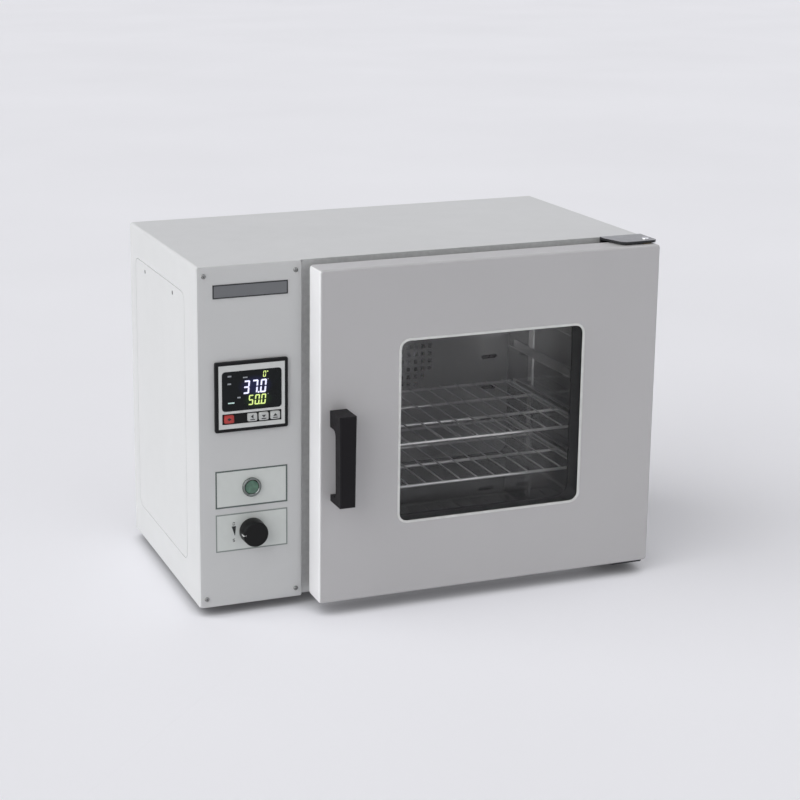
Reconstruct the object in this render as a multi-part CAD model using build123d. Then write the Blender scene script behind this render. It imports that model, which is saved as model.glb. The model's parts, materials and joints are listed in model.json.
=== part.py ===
from build123d import *
import math
import os

# Bench-top dry heat sterilizer: a sheet-metal cabinet with an electrical bay on the left,
# a fan-circulated stainless chamber on the right and a glazed door hinged on its right edge.
# Millimetres. While modelling, X runs right from the cabinet's left side, Y runs back from
# the front of the control panel and Z runs up from the underside of the base.

# ---------------------------------------------------------------- cabinet
CABINET_WIDTH = 590.0
CABINET_DEPTH = 306.0
CABINET_HEIGHT = 426.0
CABINET_CORNER = 4.0
# Flat sides that draw a circle: on the dials, on other rounds, on rods and tubes, on screws,
# on thick and thin wires, and on perforations
DIAL_SIDES = 24
ROUND_SIDES = 12
SMALL_SIDES = 8
SCREW_SIDES = 6
WIRE_SIDES = 6
THIN_WIRE_SIDES = 4
PERFORATION_SIDES = 4
# Flats that draw a quarter turn: at plate corners, at small corners and in folded sheet
CORNER_FLATS = 4
SMALL_FLATS = 2
FOLD_FLATS = 1
SHEET = 1.2
SHEET_FIT = 0.2
FLANGE = 12.0
FOOT_HEIGHT = 12.0
FOOT_RADIUS = 15.0
FOOT_DRAW_IN = 3.0
FOOT_RIM = 1.0
FOOT_INSET = 40.0
SLOT_LENGTH = 62.0
SLOT_WIDTH = 4.0
SLOT_PITCH = 11.0
SLOT_COUNT = 5
BAY_VENT_DROP = 90.0
BAY_VENT_RISE = 140.0

# Removable cover on the left side
COVER_FRONT = 55.0
COVER_REAR_MARGIN = 26.0
COVER_BOTTOM = 43.0
COVER_TOP_MARGIN = 42.0
COVER_CORNER = 12.0
COVER_GAP = 0.8
COVER_LEDGE = 7.0
COVER_SCREW_DROP = 10.5
COVER_SCREW_FRONT = 51.0
COVER_SCREW_SPACING = 128.0

# ---------------------------------------------------------------- control bay
BAY_WIDTH = 131.0
PANEL_PROUD = 4.0
PANEL_SHEET = 1.5
PANEL_CORNER = 1.5
PANEL_EDGE = 0.7
MOUNT_FLANGE = 16.0
PANEL_SCREW_INSET = 8.0
PANEL_SCREW_DROP = 11.0
SCREW_RADIUS = 1.5
SCREW_HEAD_RADIUS = 2.9
SCREW_HEAD = 1.8
SCREW_CLEARANCE = 0.15
PANEL_SCREW_GRIP = 4.0

NAMEPLATE_WIDTH = 94.0
NAMEPLATE_HEIGHT = 16.7
NAMEPLATE_THICKNESS = 0.8
NAMEPLATE_DROP = 30.7

CONTROLS_OFFSET = 0.5
BEZEL_WIDTH = 92.2
BEZEL_HEIGHT = 87.0
BEZEL_PROUD = 4.0
BEZEL_CORNER = 2.0
BEZEL_EDGE = 0.8
BEZEL_BORDER = 4.2
CONTROLLER_DROP = 160.0
CONTROLLER_DEPTH = 72.0
CONTROLLER_WIDTH = 84.0
CONTROLLER_HEIGHT = 80.0
FASCIA_THICKNESS = 1.0
DISPLAY_WIDTH = 75.2
DISPLAY_HEIGHT = 49.0
DISPLAY_CORNER = 4.0
DISPLAY_PROUD = 0.2
DISPLAY_TOP_MARGIN = 7.7
KEY_STRIP_WIDTH = 75.0
KEY_STRIP_HEIGHT = 13.2
KEY_STRIP_BOTTOM_MARGIN = 5.5
KEY_WIDTH = 12.7
KEY_HEIGHT = 10.5
KEY_PROUD = 0.9
KEY_TRAVEL = 0.8
KEY_CAP = 2.4
KEY_STEM = 5.0
KEY_STEM_LENGTH = 4.0
KEY_ROOT = 0.5
KEY_CLEARANCE = 0.35
KEY_END_PLAY = 0.1
KEY_CORNER = 1.0
# Centre of each key, measured right from the left edge of the key strip
KEY_OFFSETS = {"run_key": 8.6, "left_key": 37.9, "middle_key": 52.3, "right_key": 66.9}

LABEL_WIDTH = 92.0
LABEL_THICKNESS = 0.5
POWER_LABEL_HEIGHT = 47.6
POWER_CENTRE_Z = 149.6
POWER_RING_RADIUS = 12.0
POWER_RING_PROUD = 3.2
POWER_RING_EDGE = 1.0
POWER_BARREL_RADIUS = 9.6
POWER_BARREL_LENGTH = 26.0
POWER_BUTTON_RADIUS = 8.4
POWER_BUTTON_RECESS = 0.4
POWER_BUTTON_EDGE = 0.6
POWER_BUTTON_LENGTH = 9.0
POWER_TRAVEL = 2.5
POWER_CLEARANCE = 0.1
POWER_END_PLAY = 0.2

AIR_LABEL_HEIGHT = 48.0
AIR_CENTRE_Z = 94.0
KNOB_RADIUS = 17.5
KNOB_DRAW_IN = 1.5
KNOB_RIM = 1.0
KNOB_LENGTH = 17.0
KNOB_EDGE = 0.8
KNOB_WALL = 4.0
KNOB_GAP = 0.6
POINTER_WIDTH = 1.6
POINTER_DEPTH = 0.5
SPINDLE_RADIUS = 3.0
SPINDLE_CLEARANCE = 0.06
DUCT_INNER = 30.0
DUCT_SHEET = 1.0
DUCT_CENTRE_Y = 118.0
DUCT_BOTTOM_Z = 34.0
DUCT_OUTLET_RISE = 85.0
DAMPER_CLEARANCE = 0.6
DAMPER_THICKNESS = 1.5

# ---------------------------------------------------------------- chamber
# What stands between the chamber and the bay, the right side, the base, the top and the rear
CHAMBER_LEFT_WALL = 56.5
CHAMBER_RIGHT_WALL = 52.5
CHAMBER_FLOOR = 65.0
CHAMBER_ROOF = 75.0
CHAMBER_REAR_WALL = 18.0
CHAMBER_CORNER = 8.0
LINER_SHEET = 1.0
FAN_SPACE = 25.0
PLATE_SHEET = 1.0
PLATE_GAP = 0.5
HOLE_RADIUS = 3.7
HOLE_PITCH = 10.7
HOLE_ROWS = 11
HOLE_FIELD_RADIUS = 66.0
OUTLET_SLOTS = 5
OUTLET_SLOT_LENGTH = 26.0
OUTLET_SLOT_WIDTH = 6.0
OUTLET_SLOT_PITCH = 45.0
OUTLET_SLOT_INSET = 30.0

# Levels are spread evenly from above the chamber's floor to below its roof
SHELF_LEVELS = 4
LOWEST_LEVEL_RISE = 55.0
HIGHEST_LEVEL_DROP = 63.0
LOWER_SHELF_LEVEL = 0
UPPER_SHELF_LEVEL = 1
SHELF_FRONT_GAP = 13.0
SHELF_REAR_GAP = 20.0
SHELF_SIDE_GAP = 8.0
SHELF_RAIL_LIFT = 0.3
CROSS_WIRE_RADIUS = 2.0
CROSS_WIRES = 4
DEPTH_WIRE_RADIUS = 1.5
DEPTH_WIRES = 14
RACK_STRIP_WIDTH = 12.0
RACK_STRIP_THICKNESS = 1.5
RACK_FRONT_POST_INSET = 41.0
RACK_REAR_POST_INSET = 50.0
RACK_FOOT_GAP = 12.0
RACK_HEAD_GAP = 26.0
RACK_LEDGE = 12.0
RACK_UPSTAND = 6.0

# Circulation fan, heater and what stands behind the chamber
FAN_RISE = 24.0
FAN_RADIUS = 45.0
FAN_FRONT_GAP = 3.0
FAN_DEPTH = 17.0
FAN_BLADES = 12
FAN_BLADE_DEPTH = 14.0
FAN_BLADE_LENGTH = 19.0
FAN_BLADE_TURN = 35.0
FAN_RIM = 2.0
FAN_HUB_RADIUS = 9.0
FAN_SHAFT_RADIUS = 3.0
FAN_SHAFT_CLEARANCE = 0.05
FAN_SHAFT_REACH = 24.0
FAN_SHAFT_END_PLAY = 2.0
HEATER_HALF = 53.0
HEATER_ROD_RADIUS = 3.5
HEATER_LEG_SPACING = 22.0
HEATER_LEG_ROOM = 8.0
HEATER_TAIL = 14.0
MOTOR_RADIUS = 34.0
MOTOR_LENGTH = 46.0
MOTOR_EDGE = 5.0
MOTOR_PLATE = 92.0
MOTOR_PLATE_SHEET = 2.0
MOTOR_COVER_SIZE = 122.0
MOTOR_COVER_DEPTH = 68.0
MOTOR_COVER_EDGE = 3.0
MOTOR_COVER_SCREW_GRIP = 8.0
EXHAUST_INSET = 37.5
EXHAUST_DROP = 33.0
EXHAUST_RADIUS = 14.0
EXHAUST_WALL = 1.5
EXHAUST_COLLAR_RADIUS = 21.0
EXHAUST_COLLAR = 2.0
EXHAUST_PROUD = 15.0
PROBE_INSET = 87.5
PROBE_DROP = 29.0
PROBE_RADIUS = 2.5
PROBE_REACH = 26.0
PROBE_TAIL = 4.0
INLET_Z = 70.0
INLET_WIDTH = 28.0
INLET_HEIGHT = 20.0
INLET_DEPTH = 32.0
INLET_SOCKET = 16.0
INLET_WALL = 2.0
INLET_FLANGE = 2.5
INLET_EAR = 11.0
INLET_CORNER = 4.0
INLET_SOCKET_CORNER = 1.0
INLET_PIN_PITCH = 7.0
INLET_PIN_RISE = 2.0
INLET_PIN_WIDTH = 2.0
INLET_PIN_HEIGHT = 4.0
INLET_PIN_RECESS = 1.0
RELAY_WIDTH = 22.0
RELAY_LENGTH = 58.0
RELAY_HEIGHT = 45.0
RELAY_DROP = 126.0
RELAY_FROM_REAR = 96.0
RELAY_EDGE = 2.0
TERMINAL_INSET = 6.0
TERMINAL_WIDTH = 28.0
TERMINAL_HEIGHT = 8.0
TERMINAL_DEPTH = 8.0
SINK_FINS = 8
SINK_DEPTH = 24.0
SINK_BASE = 4.0
SINK_MARGIN = 7.0

# ---------------------------------------------------------------- door
DOOR_SEAM = 6.0
DOOR_GAP = 15.0
DOOR_THICKNESS = 35.0
DOOR_BOTTOM = 5.0
DOOR_TOP_DROP = 4.0
DOOR_CORNER = 4.0
DOOR_EDGE = 2.8
WINDOW_STILE = 103.6
WINDOW_RAIL = 93.3
WINDOW_CORNER = 11.5
TRIM_WIDTH = 1.8
TRIM_PROUD = 0.8
TRIM_LIP = 1.0
GLASS_THICKNESS = 4.0
GLASS_OVERLAP = 10.0
WOOL_GAP = 1.0
SLEEVE_MARGIN = 6.0
SLEEVE_SHEET = 1.0
PLUG_MARGIN = 4.5
PLUG_DEPTH = 9.0
GASKET_WIDTH = 14.0
GASKET_FIT = 0.5
GASKET_CORNER = 22.0
GASKET_CLEARANCE = 0.3
HANDLE_LEFT = 13.0
HANDLE_WIDTH = 21.5
HANDLE_FOOT_WIDTH = 19.5
HANDLE_RISE = 37.0
HANDLE_LENGTH = 113.5
HANDLE_STAND_OFF = 34.0
HANDLE_BAR = 16.0
HANDLE_UPPER_LEG = 20.5
HANDLE_LOWER_LEG = 8.0
HANDLE_SCREW_RADIUS = 2.0
HANDLE_SCREW_REACH = 12.0
HANDLE_EDGE = 1.8
HANDLE_INNER_RADIUS = 7.2
PIN_RADIUS = 3.0
PIN_CLEARANCE = 0.05
PIN_INSET = 12.0
PIN_ENGAGEMENT = 12.0
PIN_END_PLAY = 0.5
PIN_HEAD_RADIUS = 4.6
PIN_HEAD = 2.5
BUSH_RADIUS = 5.0
BUSH_FLANGE_RADIUS = 8.0
BUSH_FLANGE = 1.2
BUSH_FLOOR = 1.5
HINGE_PLATE = 3.0
HINGE_LENGTH = 58.0
HINGE_REACH = 42.0
HINGE_TAPER = 10.0
HINGE_LEG = 34.0
HINGE_CORNER = 4.0
HINGE_NECK = 10.0
HINGE_SCREW_HEIGHT = 19.0
HINGE_SCREW_OUTER = 10.0
HINGE_SCREW_INNER = 12.0
HINGE_SCREW_GRIP = 7.0
CATCH_WIDTH = 14.0
CATCH_HEIGHT = 40.0
CATCH_DEPTH = 12.0
CATCH_INSET = 20.0
CATCH_EDGE = 0.8
KEEPER_MARGIN = 1.0
KEEPER_OVERHANG = 4.0
CATCH_GAP = 0.3

# ---------------------------------------------------------------- places that follow from the sizes
face_y = PANEL_PROUD
rear_y = CABINET_DEPTH
back_sheet_y = rear_y - SHEET
inner_corner = CABINET_CORNER - SHEET - SHEET_FIT
controls_x = BAY_WIDTH / 2 + CONTROLS_OFFSET
cover_length = rear_y - COVER_REAR_MARGIN - COVER_FRONT
cover_height = CABINET_HEIGHT - COVER_TOP_MARGIN - COVER_BOTTOM
chamber_left = BAY_WIDTH + CHAMBER_LEFT_WALL
chamber_right = CABINET_WIDTH - CHAMBER_RIGHT_WALL
chamber_width = chamber_right - chamber_left
chamber_x = (chamber_left + chamber_right) / 2
chamber_top = CABINET_HEIGHT - CHAMBER_ROOF
chamber_height = chamber_top - CHAMBER_FLOOR
chamber_z = (CHAMBER_FLOOR + chamber_top) / 2
liner_back_y = rear_y - CHAMBER_REAR_WALL
plate_y = liner_back_y - FAN_SPACE - PLATE_SHEET
shelf_front = face_y + SHELF_FRONT_GAP
shelf_depth = plate_y - SHELF_REAR_GAP - shelf_front
wire_flat = math.cos(math.pi / WIRE_SIDES)
thin_wire_flat = math.cos(math.pi / THIN_WIRE_SIDES)
fan_z = chamber_z + FAN_RISE
exhaust_x = chamber_right - EXHAUST_INSET
exhaust_z = chamber_top - EXHAUST_DROP
probe_x = chamber_right - PROBE_INSET
probe_z = chamber_top - PROBE_DROP
duct_outlet_z = CHAMBER_FLOOR + DUCT_OUTLET_RISE
relay_y = rear_y - RELAY_FROM_REAR
relay_z = CABINET_HEIGHT - RELAY_DROP

door_left = BAY_WIDTH + DOOR_SEAM
door_right = CABINET_WIDTH
door_x = (door_left + door_right) / 2
door_top = CABINET_HEIGHT - DOOR_TOP_DROP
door_z = (DOOR_BOTTOM + door_top) / 2
door_back_y = face_y - DOOR_GAP
door_front_y = door_back_y - DOOR_THICKNESS
door_mid_y = (door_front_y + door_back_y) / 2
window_width = door_right - door_left - 2 * WINDOW_STILE
window_height = door_top - DOOR_BOTTOM - 2 * WINDOW_RAIL
handle_top_z = door_z + HANDLE_RISE
catch_x = door_left + CATCH_INSET
outer_glass_y = door_front_y + SHEET
sleeve_front_y = outer_glass_y + GLASS_THICKNESS
plug_back_y = door_back_y + PLUG_DEPTH
inner_glass_y = plug_back_y - LINER_SHEET - GLASS_THICKNESS
pin_x = door_right - PIN_INSET

nameplate_z = CABINET_HEIGHT - NAMEPLATE_DROP
controller_z = CABINET_HEIGHT - CONTROLLER_DROP
bezel_bottom = controller_z - BEZEL_HEIGHT / 2
bezel_top = controller_z + BEZEL_HEIGHT / 2
fascia_y = FASCIA_THICKNESS - BEZEL_PROUD
display_z = bezel_top - BEZEL_BORDER - DISPLAY_TOP_MARGIN - DISPLAY_HEIGHT / 2
key_strip_z = bezel_bottom + BEZEL_BORDER + KEY_STRIP_BOTTOM_MARGIN + KEY_STRIP_HEIGHT / 2
key_strip_left = controls_x - KEY_STRIP_WIDTH / 2
label_front_y = -LABEL_THICKNESS

front_reach = HANDLE_STAND_OFF - door_front_y
rear_reach = MOTOR_COVER_DEPTH
# The frame's origin: on the floor, under the middle of the whole instrument
TO_FRAME = Vector(-CABINET_WIDTH / 2, (front_reach - rear_reach - CABINET_DEPTH) / 2, FOOT_HEIGHT)


# ---------------------------------------------------------------- building helpers
def block(x, y, z):
    """A box between two corners, each argument being a (low, high) pair."""
    size = [high - low for low, high in (x, y, z)]
    centre = [(high + low) / 2 for low, high in (x, y, z)]
    return Pos(*centre) * Box(*size)


def facing_front(x, z, y):
    """A drawing plane seen from the front: its X is X, its Y is Z, at depth y."""
    return Plane((x, y, z), x_dir=(1, 0, 0), z_dir=(0, -1, 0))


def rounded_outline(width, height, radius, flats=CORNER_FLATS):
    """A rectangle whose corners turn in short flats that stand for an arc."""
    points = []
    for quarter, (across, up) in enumerate(((1, 1), (-1, 1), (-1, -1), (1, -1))):
        for flat in range(flats + 1):
            angle = math.pi / 2 * (quarter + flat / flats)
            x = across * (width / 2 - radius) + radius * math.cos(angle)
            y = up * (height / 2 - radius) + radius * math.sin(angle)
            points.append((x, y))
    return make_face(Polyline(*points, close=True))


def panel(x, z, width, height, corner, front, back, flats=CORNER_FLATS):
    """A rounded rectangular plate parallel to the front, between two depths."""
    outline = facing_front(x, z, back) * rounded_outline(width, height, corner, flats)
    return extrude(outline, amount=back - front)


def disc(radius, sides=None):
    """A circle, or the polygon inside it that stands for one."""
    return RegularPolygon(radius, sides) if sides else Circle(radius)


def rod_y(x, z, radius, front, back, sides=None):
    """A round rod that runs front to back."""
    return extrude(facing_front(x, z, back) * disc(radius, sides), amount=back - front)


def rod_x(y, z, radius, left, right, sides=None):
    """A round rod that runs left to right."""
    outline = Plane((left, y, z), x_dir=(0, 1, 0), z_dir=(1, 0, 0)) * disc(radius, sides)
    return extrude(outline, amount=right - left)


def rod_z(x, y, radius, bottom, top, sides=None):
    """A round rod that runs upwards."""
    return extrude(Pos(x, y, bottom) * disc(radius, sides), amount=top - bottom)


def drawn_in(end, amount, length):
    """A straight shape with its sides tapered inwards over a length that stops at its end face."""
    return chamfer(end.edges(), amount, length, reference=end)


def hole_y(x, z, radius, front, back, sides=SMALL_SIDES):
    """What a clearance hole takes away: flat sides that all stand off by the radius."""
    return rod_y(x, z, radius / math.cos(math.pi / sides), front, back, sides)


def top_corners(shape):
    """The two upper edges of a box that run front to back."""
    return shape.edges().filter_by(Axis.Y).group_by(Axis.Z)[-1]


def screw_from_front(x, z, seat, length):
    """A pan-head screw whose head seats at depth seat and faces the front."""
    head = rod_y(x, z, SCREW_HEAD_RADIUS, seat - SCREW_HEAD, seat, SCREW_SIDES)
    return head + rod_y(x, z, SCREW_RADIUS, seat, seat + length, SCREW_SIDES)


def screw_from_back(x, z, seat, length):
    """A pan-head screw whose head seats at depth seat and faces the rear."""
    head = rod_y(x, z, SCREW_HEAD_RADIUS, seat, seat + SCREW_HEAD, SCREW_SIDES)
    return head + rod_y(x, z, SCREW_RADIUS, seat - length, seat, SCREW_SIDES)


def screw_hole(x, z, front, back):
    """What a screw's clearance hole takes away."""
    return hole_y(x, z, SCREW_RADIUS + SCREW_CLEARANCE, front, back, SCREW_SIDES)


def slot_outline(length, width):
    """A level slot whose ends come to a blunt point."""
    end = length / 2
    shoulder = end - width / 2
    return make_face(
        Polyline(
            (-end, 0),
            (-shoulder, -width / 2),
            (shoulder, -width / 2),
            (end, 0),
            (shoulder, width / 2),
            (-shoulder, width / 2),
            close=True,
        )
    )


def slots(x, z, front, back, count, length=SLOT_LENGTH, pitch=SLOT_PITCH, width=SLOT_WIDTH):
    """What a stack of level slots takes away, from front to back."""
    outline = slot_outline(length, width)
    rows = [z + (row - (count - 1) / 2) * pitch for row in range(count)]
    return Compound([extrude(facing_front(x, row, back) * outline, amount=back - front) for row in rows])


def save(name, *solids):
    """Moves the finished solids into the instrument's frame and writes the node's STEP file."""
    shape = solids[0] if len(solids) == 1 else Compound(list(solids))
    export_step(Compound(list(shape.solids())).moved(Location(TO_FRAME)), f"parts/{name}.step")


os.makedirs("parts", exist_ok=True)


# ---------------------------------------------------------------- cabinet sheet metal
def side_cover_outline(grow, left, right):
    """The left side cover's rounded outline, grown by a margin and cut between two X values."""
    centre_y = COVER_FRONT + cover_length / 2
    centre_z = COVER_BOTTOM + cover_height / 2
    plane = Plane((right, centre_y, centre_z), x_dir=(0, -1, 0), z_dir=(-1, 0, 0))
    outline = rounded_outline(cover_length + 2 * grow, cover_height + 2 * grow, COVER_CORNER + grow)
    return extrude(plane * outline, amount=right - left)


def cover_screw_places():
    """(y, z) of the two screws in the top edge of the side cover."""
    front = COVER_FRONT + COVER_SCREW_FRONT
    height = COVER_BOTTOM + cover_height - COVER_SCREW_DROP
    return [(front, height), (front + COVER_SCREW_SPACING, height)]


def outer_shell():
    """One wrap of sheet: left side, top and right side, with its edges returned inwards."""
    wrap = block((0, CABINET_WIDTH), (face_y, rear_y), (0, CABINET_HEIGHT))
    wrap = fillet(top_corners(wrap), CABINET_CORNER)
    hollow = block(
        (SHEET, CABINET_WIDTH - SHEET),
        (face_y - SHEET, rear_y + SHEET),
        (SHEET, CABINET_HEIGHT - SHEET),
    )
    wrap -= fillet(top_corners(hollow), CABINET_CORNER - SHEET)
    wrap -= block((FLANGE, CABINET_WIDTH - FLANGE), (0, rear_y + SHEET), (-SHEET, 2 * SHEET))
    # The front return that the control panel screws to
    lip = block((SHEET, BAY_WIDTH - MOUNT_FLANGE), (face_y, face_y + SHEET), (SHEET, CABINET_HEIGHT - SHEET))
    lip -= block(
        (MOUNT_FLANGE, BAY_WIDTH),
        (0, rear_y),
        (MOUNT_FLANGE, CABINET_HEIGHT - MOUNT_FLANGE),
    )
    wrap += lip
    # The opening under the side cover and the joggled ledge that the cover lies on
    wrap -= side_cover_outline(COVER_GAP, -SHEET, SHEET)
    grow = COVER_GAP + COVER_LEDGE
    ledge = block(
        (SHEET, 2 * SHEET),
        (COVER_FRONT - grow, COVER_FRONT + cover_length + grow),
        (COVER_BOTTOM - grow, COVER_BOTTOM + cover_height + grow),
    )
    ledge -= block(
        (0, 3 * SHEET),
        (COVER_FRONT + COVER_LEDGE, COVER_FRONT + cover_length - COVER_LEDGE),
        (COVER_BOTTOM + COVER_LEDGE, COVER_BOTTOM + cover_height - COVER_LEDGE),
    )
    wrap += ledge
    for y, z in cover_screw_places():
        half = COVER_LEDGE
        wrap += block((SHEET, 2 * SHEET), (y - half, y + half), (z - half, z + half))
        wrap -= rod_x(y, z, SCREW_RADIUS + 2 * SCREW_CLEARANCE, 0, 3 * SHEET, SMALL_SIDES)
    for x, z in panel_screw_places():
        wrap -= screw_hole(x, z, 0, face_y + 2 * SHEET)
    return wrap


def panel_screw_places():
    """(x, z) of the screws in the corners of the control panel."""
    columns = (PANEL_SCREW_INSET, BAY_WIDTH - PANEL_SCREW_INSET)
    rows = (PANEL_SCREW_DROP, CABINET_HEIGHT - PANEL_SCREW_DROP)
    return [(x, z) for x in columns for z in rows]


def control_panel_screws():
    length = face_y + SHEET + PANEL_SCREW_GRIP
    return [screw_from_front(x, z, 0, length) for x, z in panel_screw_places()]


def side_cover():
    cover = side_cover_outline(0, 0, SHEET)
    for y, z in cover_screw_places():
        cover -= rod_x(y, z, SCREW_RADIUS + 2 * SCREW_CLEARANCE, -1, SHEET + 1, SMALL_SIDES)
        cover -= rod_x(y, z, SCREW_HEAD_RADIUS + SCREW_CLEARANCE, -1, SHEET / 2, SMALL_SIDES)
    return cover


def side_cover_screws():
    screws = []
    for y, z in cover_screw_places():
        head = rod_x(y, z, SCREW_HEAD_RADIUS, 0, SHEET / 2, SMALL_SIDES)
        screws.append(head + rod_x(y, z, SCREW_RADIUS, SHEET / 2, 2 * SHEET + COVER_LEDGE, SMALL_SIDES))
    return screws


def base_pan():
    """The floor of the cabinet, resting on the wrap's lower returns, with air slots under the bay."""
    front = face_y + SHEET + SHEET_FIT
    x = (SHEET + SHEET_FIT, CABINET_WIDTH - SHEET - SHEET_FIT)
    pan = block(x, (front, back_sheet_y), (SHEET, 2 * SHEET))
    upstand = block((MOUNT_FLANGE, BAY_WIDTH - MOUNT_FLANGE), (front, front + SHEET), (SHEET, MOUNT_FLANGE))
    pan += upstand
    for row in range(SLOT_COUNT):
        y = DUCT_CENTRE_Y + (row - (SLOT_COUNT - 1) / 2) * SLOT_PITCH
        pan -= extrude(Pos(controls_x, y, 0) * slot_outline(SLOT_LENGTH, SLOT_WIDTH), amount=3 * SHEET)
    return pan


def back_panel():
    """The rear sheet, folded forwards at its edges, with slots behind the bay."""
    z = (2 * SHEET + SHEET_FIT, CABINET_HEIGHT - SHEET - SHEET_FIT)
    x = (SHEET + SHEET_FIT, CABINET_WIDTH - SHEET - SHEET_FIT)
    sheet = block(x, (rear_y - FLANGE, rear_y), z)
    sheet = chamfer(top_corners(sheet), inner_corner)
    hollow = block((x[0] + SHEET, x[1] - SHEET), (0, back_sheet_y), (0, z[1] - SHEET))
    sheet -= chamfer(top_corners(hollow), inner_corner - SHEET)
    cut = (back_sheet_y - 1, rear_y + 1)
    sheet -= slots(controls_x, CABINET_HEIGHT - BAY_VENT_DROP, *cut, SLOT_COUNT)
    sheet -= slots(controls_x, BAY_VENT_RISE, *cut, SLOT_COUNT)
    sheet -= block(
        (controls_x - INLET_WIDTH / 2 - SHEET_FIT, controls_x + INLET_WIDTH / 2 + SHEET_FIT),
        cut,
        (INLET_Z - INLET_HEIGHT / 2 - SHEET_FIT, INLET_Z + INLET_HEIGHT / 2 + SHEET_FIT),
    )
    sheet -= hole_y(exhaust_x, exhaust_z, EXHAUST_RADIUS + SHEET_FIT, *cut, ROUND_SIDES)
    sheet -= hole_y(chamber_x, fan_z, FAN_HUB_RADIUS, *cut)
    for x_leg, z_leg in heater_leg_places():
        sheet -= hole_y(x_leg, z_leg, HEATER_ROD_RADIUS + SHEET_FIT, *cut)
    for x_screw, z_screw in motor_cover_screw_places():
        sheet -= screw_hole(x_screw, z_screw, *cut)
    return sheet


def partition():
    """The wall between the electrical bay and the chamber, with the flange for the panel screws."""
    z = (2 * SHEET + SHEET_FIT, CABINET_HEIGHT - SHEET - SHEET_FIT)
    wall = block((BAY_WIDTH - SHEET, BAY_WIDTH), (face_y, rear_y - FLANGE - SHEET_FIT), z)
    wall += block((BAY_WIDTH - MOUNT_FLANGE + SHEET_FIT, BAY_WIDTH), (face_y, face_y + SHEET), z)
    half = DUCT_INNER / 2 + DUCT_SHEET + SHEET_FIT
    wall -= block(
        (BAY_WIDTH - 2 * SHEET, BAY_WIDTH + SHEET),
        (DUCT_CENTRE_Y - half, DUCT_CENTRE_Y + half),
        (duct_outlet_z - half, duct_outlet_z + half),
    )
    for x, z_screw in panel_screw_places():
        wall -= screw_hole(x, z_screw, 0, face_y + 2 * SHEET)
    return wall


def chamber_outline(grow, front, back):
    """The chamber's inner outline, grown by a margin, as a solid between two depths."""
    return panel(
        chamber_x,
        chamber_z,
        chamber_width + 2 * grow,
        chamber_height + 2 * grow,
        CHAMBER_CORNER + grow,
        front,
        back,
        FOLD_FLATS,
    )


def front_frame():
    """The flat face round the chamber mouth, folded back at its outer edges."""
    x = (BAY_WIDTH + SHEET_FIT, CABINET_WIDTH - SHEET - SHEET_FIT)
    z = (2 * SHEET + SHEET_FIT, CABINET_HEIGHT - SHEET - SHEET_FIT)
    frame = block(x, (face_y, face_y + FLANGE), z)
    frame = chamfer(top_corners(frame), inner_corner)
    hollow = block(
        (x[0] + SHEET, x[1] - SHEET), (face_y + SHEET, rear_y), (z[0] + SHEET, z[1] - SHEET)
    )
    frame -= chamfer(top_corners(hollow), inner_corner - SHEET)
    frame -= chamber_outline(0, face_y - 1, face_y + FLANGE)
    for x_screw, z_screw in hinge_screw_places():
        frame -= screw_hole(x_screw, z_screw, 0, face_y + 2 * SHEET)
    return frame


def feet():
    """Tapered rubber feet pushed against the wrap's lower returns and the base pan."""
    result = []
    for x in (FOOT_INSET, CABINET_WIDTH - FOOT_INSET):
        for y in (face_y + FOOT_INSET, rear_y - FOOT_INSET):
            foot = rod_z(x, y, FOOT_RADIUS, -FOOT_HEIGHT, 0, ROUND_SIDES)
            underside = foot.faces().sort_by(Axis.Z)[0]
            result.append(drawn_in(underside, FOOT_DRAW_IN, FOOT_HEIGHT - FOOT_RIM))
    return result


# ---------------------------------------------------------------- control panel
def control_panel():
    """The front plate of the bay, a shallow folded tray with the holes for its controls."""
    plate = block((0, BAY_WIDTH), (0, face_y), (0, CABINET_HEIGHT))
    plate = chamfer(plate.edges().filter_by(Axis.Y), PANEL_CORNER)
    plate = chamfer(plate.faces().sort_by(Axis.Y)[0].edges(), PANEL_EDGE)
    plate -= block(
        (PANEL_SHEET, BAY_WIDTH - PANEL_SHEET),
        (PANEL_SHEET, face_y + 1),
        (PANEL_SHEET, CABINET_HEIGHT - PANEL_SHEET),
    )
    plate -= controller_body(SHEET_FIT, -1, face_y)
    plate -= rod_y(controls_x, POWER_CENTRE_Z, POWER_BARREL_RADIUS + SHEET_FIT, -1, face_y, ROUND_SIDES)
    plate -= rod_y(controls_x, AIR_CENTRE_Z, SPINDLE_RADIUS + SPINDLE_CLEARANCE, -1, face_y)
    for x, z in panel_screw_places():
        plate -= screw_hole(x, z, -1, face_y)
    return plate


def controller_body(grow, front, back):
    """The controller's body behind its bezel, or the cut-out that it passes when grown."""
    half_width = CONTROLLER_WIDTH / 2 + grow
    half_height = CONTROLLER_HEIGHT / 2 + grow
    return block(
        (controls_x - half_width, controls_x + half_width),
        (front, back),
        (controller_z - half_height, controller_z + half_height),
    )


def controller_housing():
    """The controller's moulded case: a bezel in front of the panel and a body behind it."""
    outline = (controls_x, controller_z, BEZEL_WIDTH, BEZEL_HEIGHT, BEZEL_CORNER)
    bezel = panel(*outline, -BEZEL_PROUD, 0, SMALL_FLATS)
    bezel = chamfer(bezel.faces().sort_by(Axis.Y)[0].edges(), BEZEL_EDGE)
    housing = bezel + controller_body(0, 0, CONTROLLER_DEPTH)
    housing -= fascia_outline(0, -BEZEL_PROUD - 1, fascia_y)
    for offset in KEY_OFFSETS.values():
        housing -= key_block(offset, KEY_CLEARANCE, -BEZEL_PROUD - 1, key_seat_y())
        housing -= key_stem(offset, KEY_CLEARANCE, -BEZEL_PROUD, key_seat_y() + KEY_STEM_LENGTH + KEY_TRAVEL)
    return housing


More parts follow.
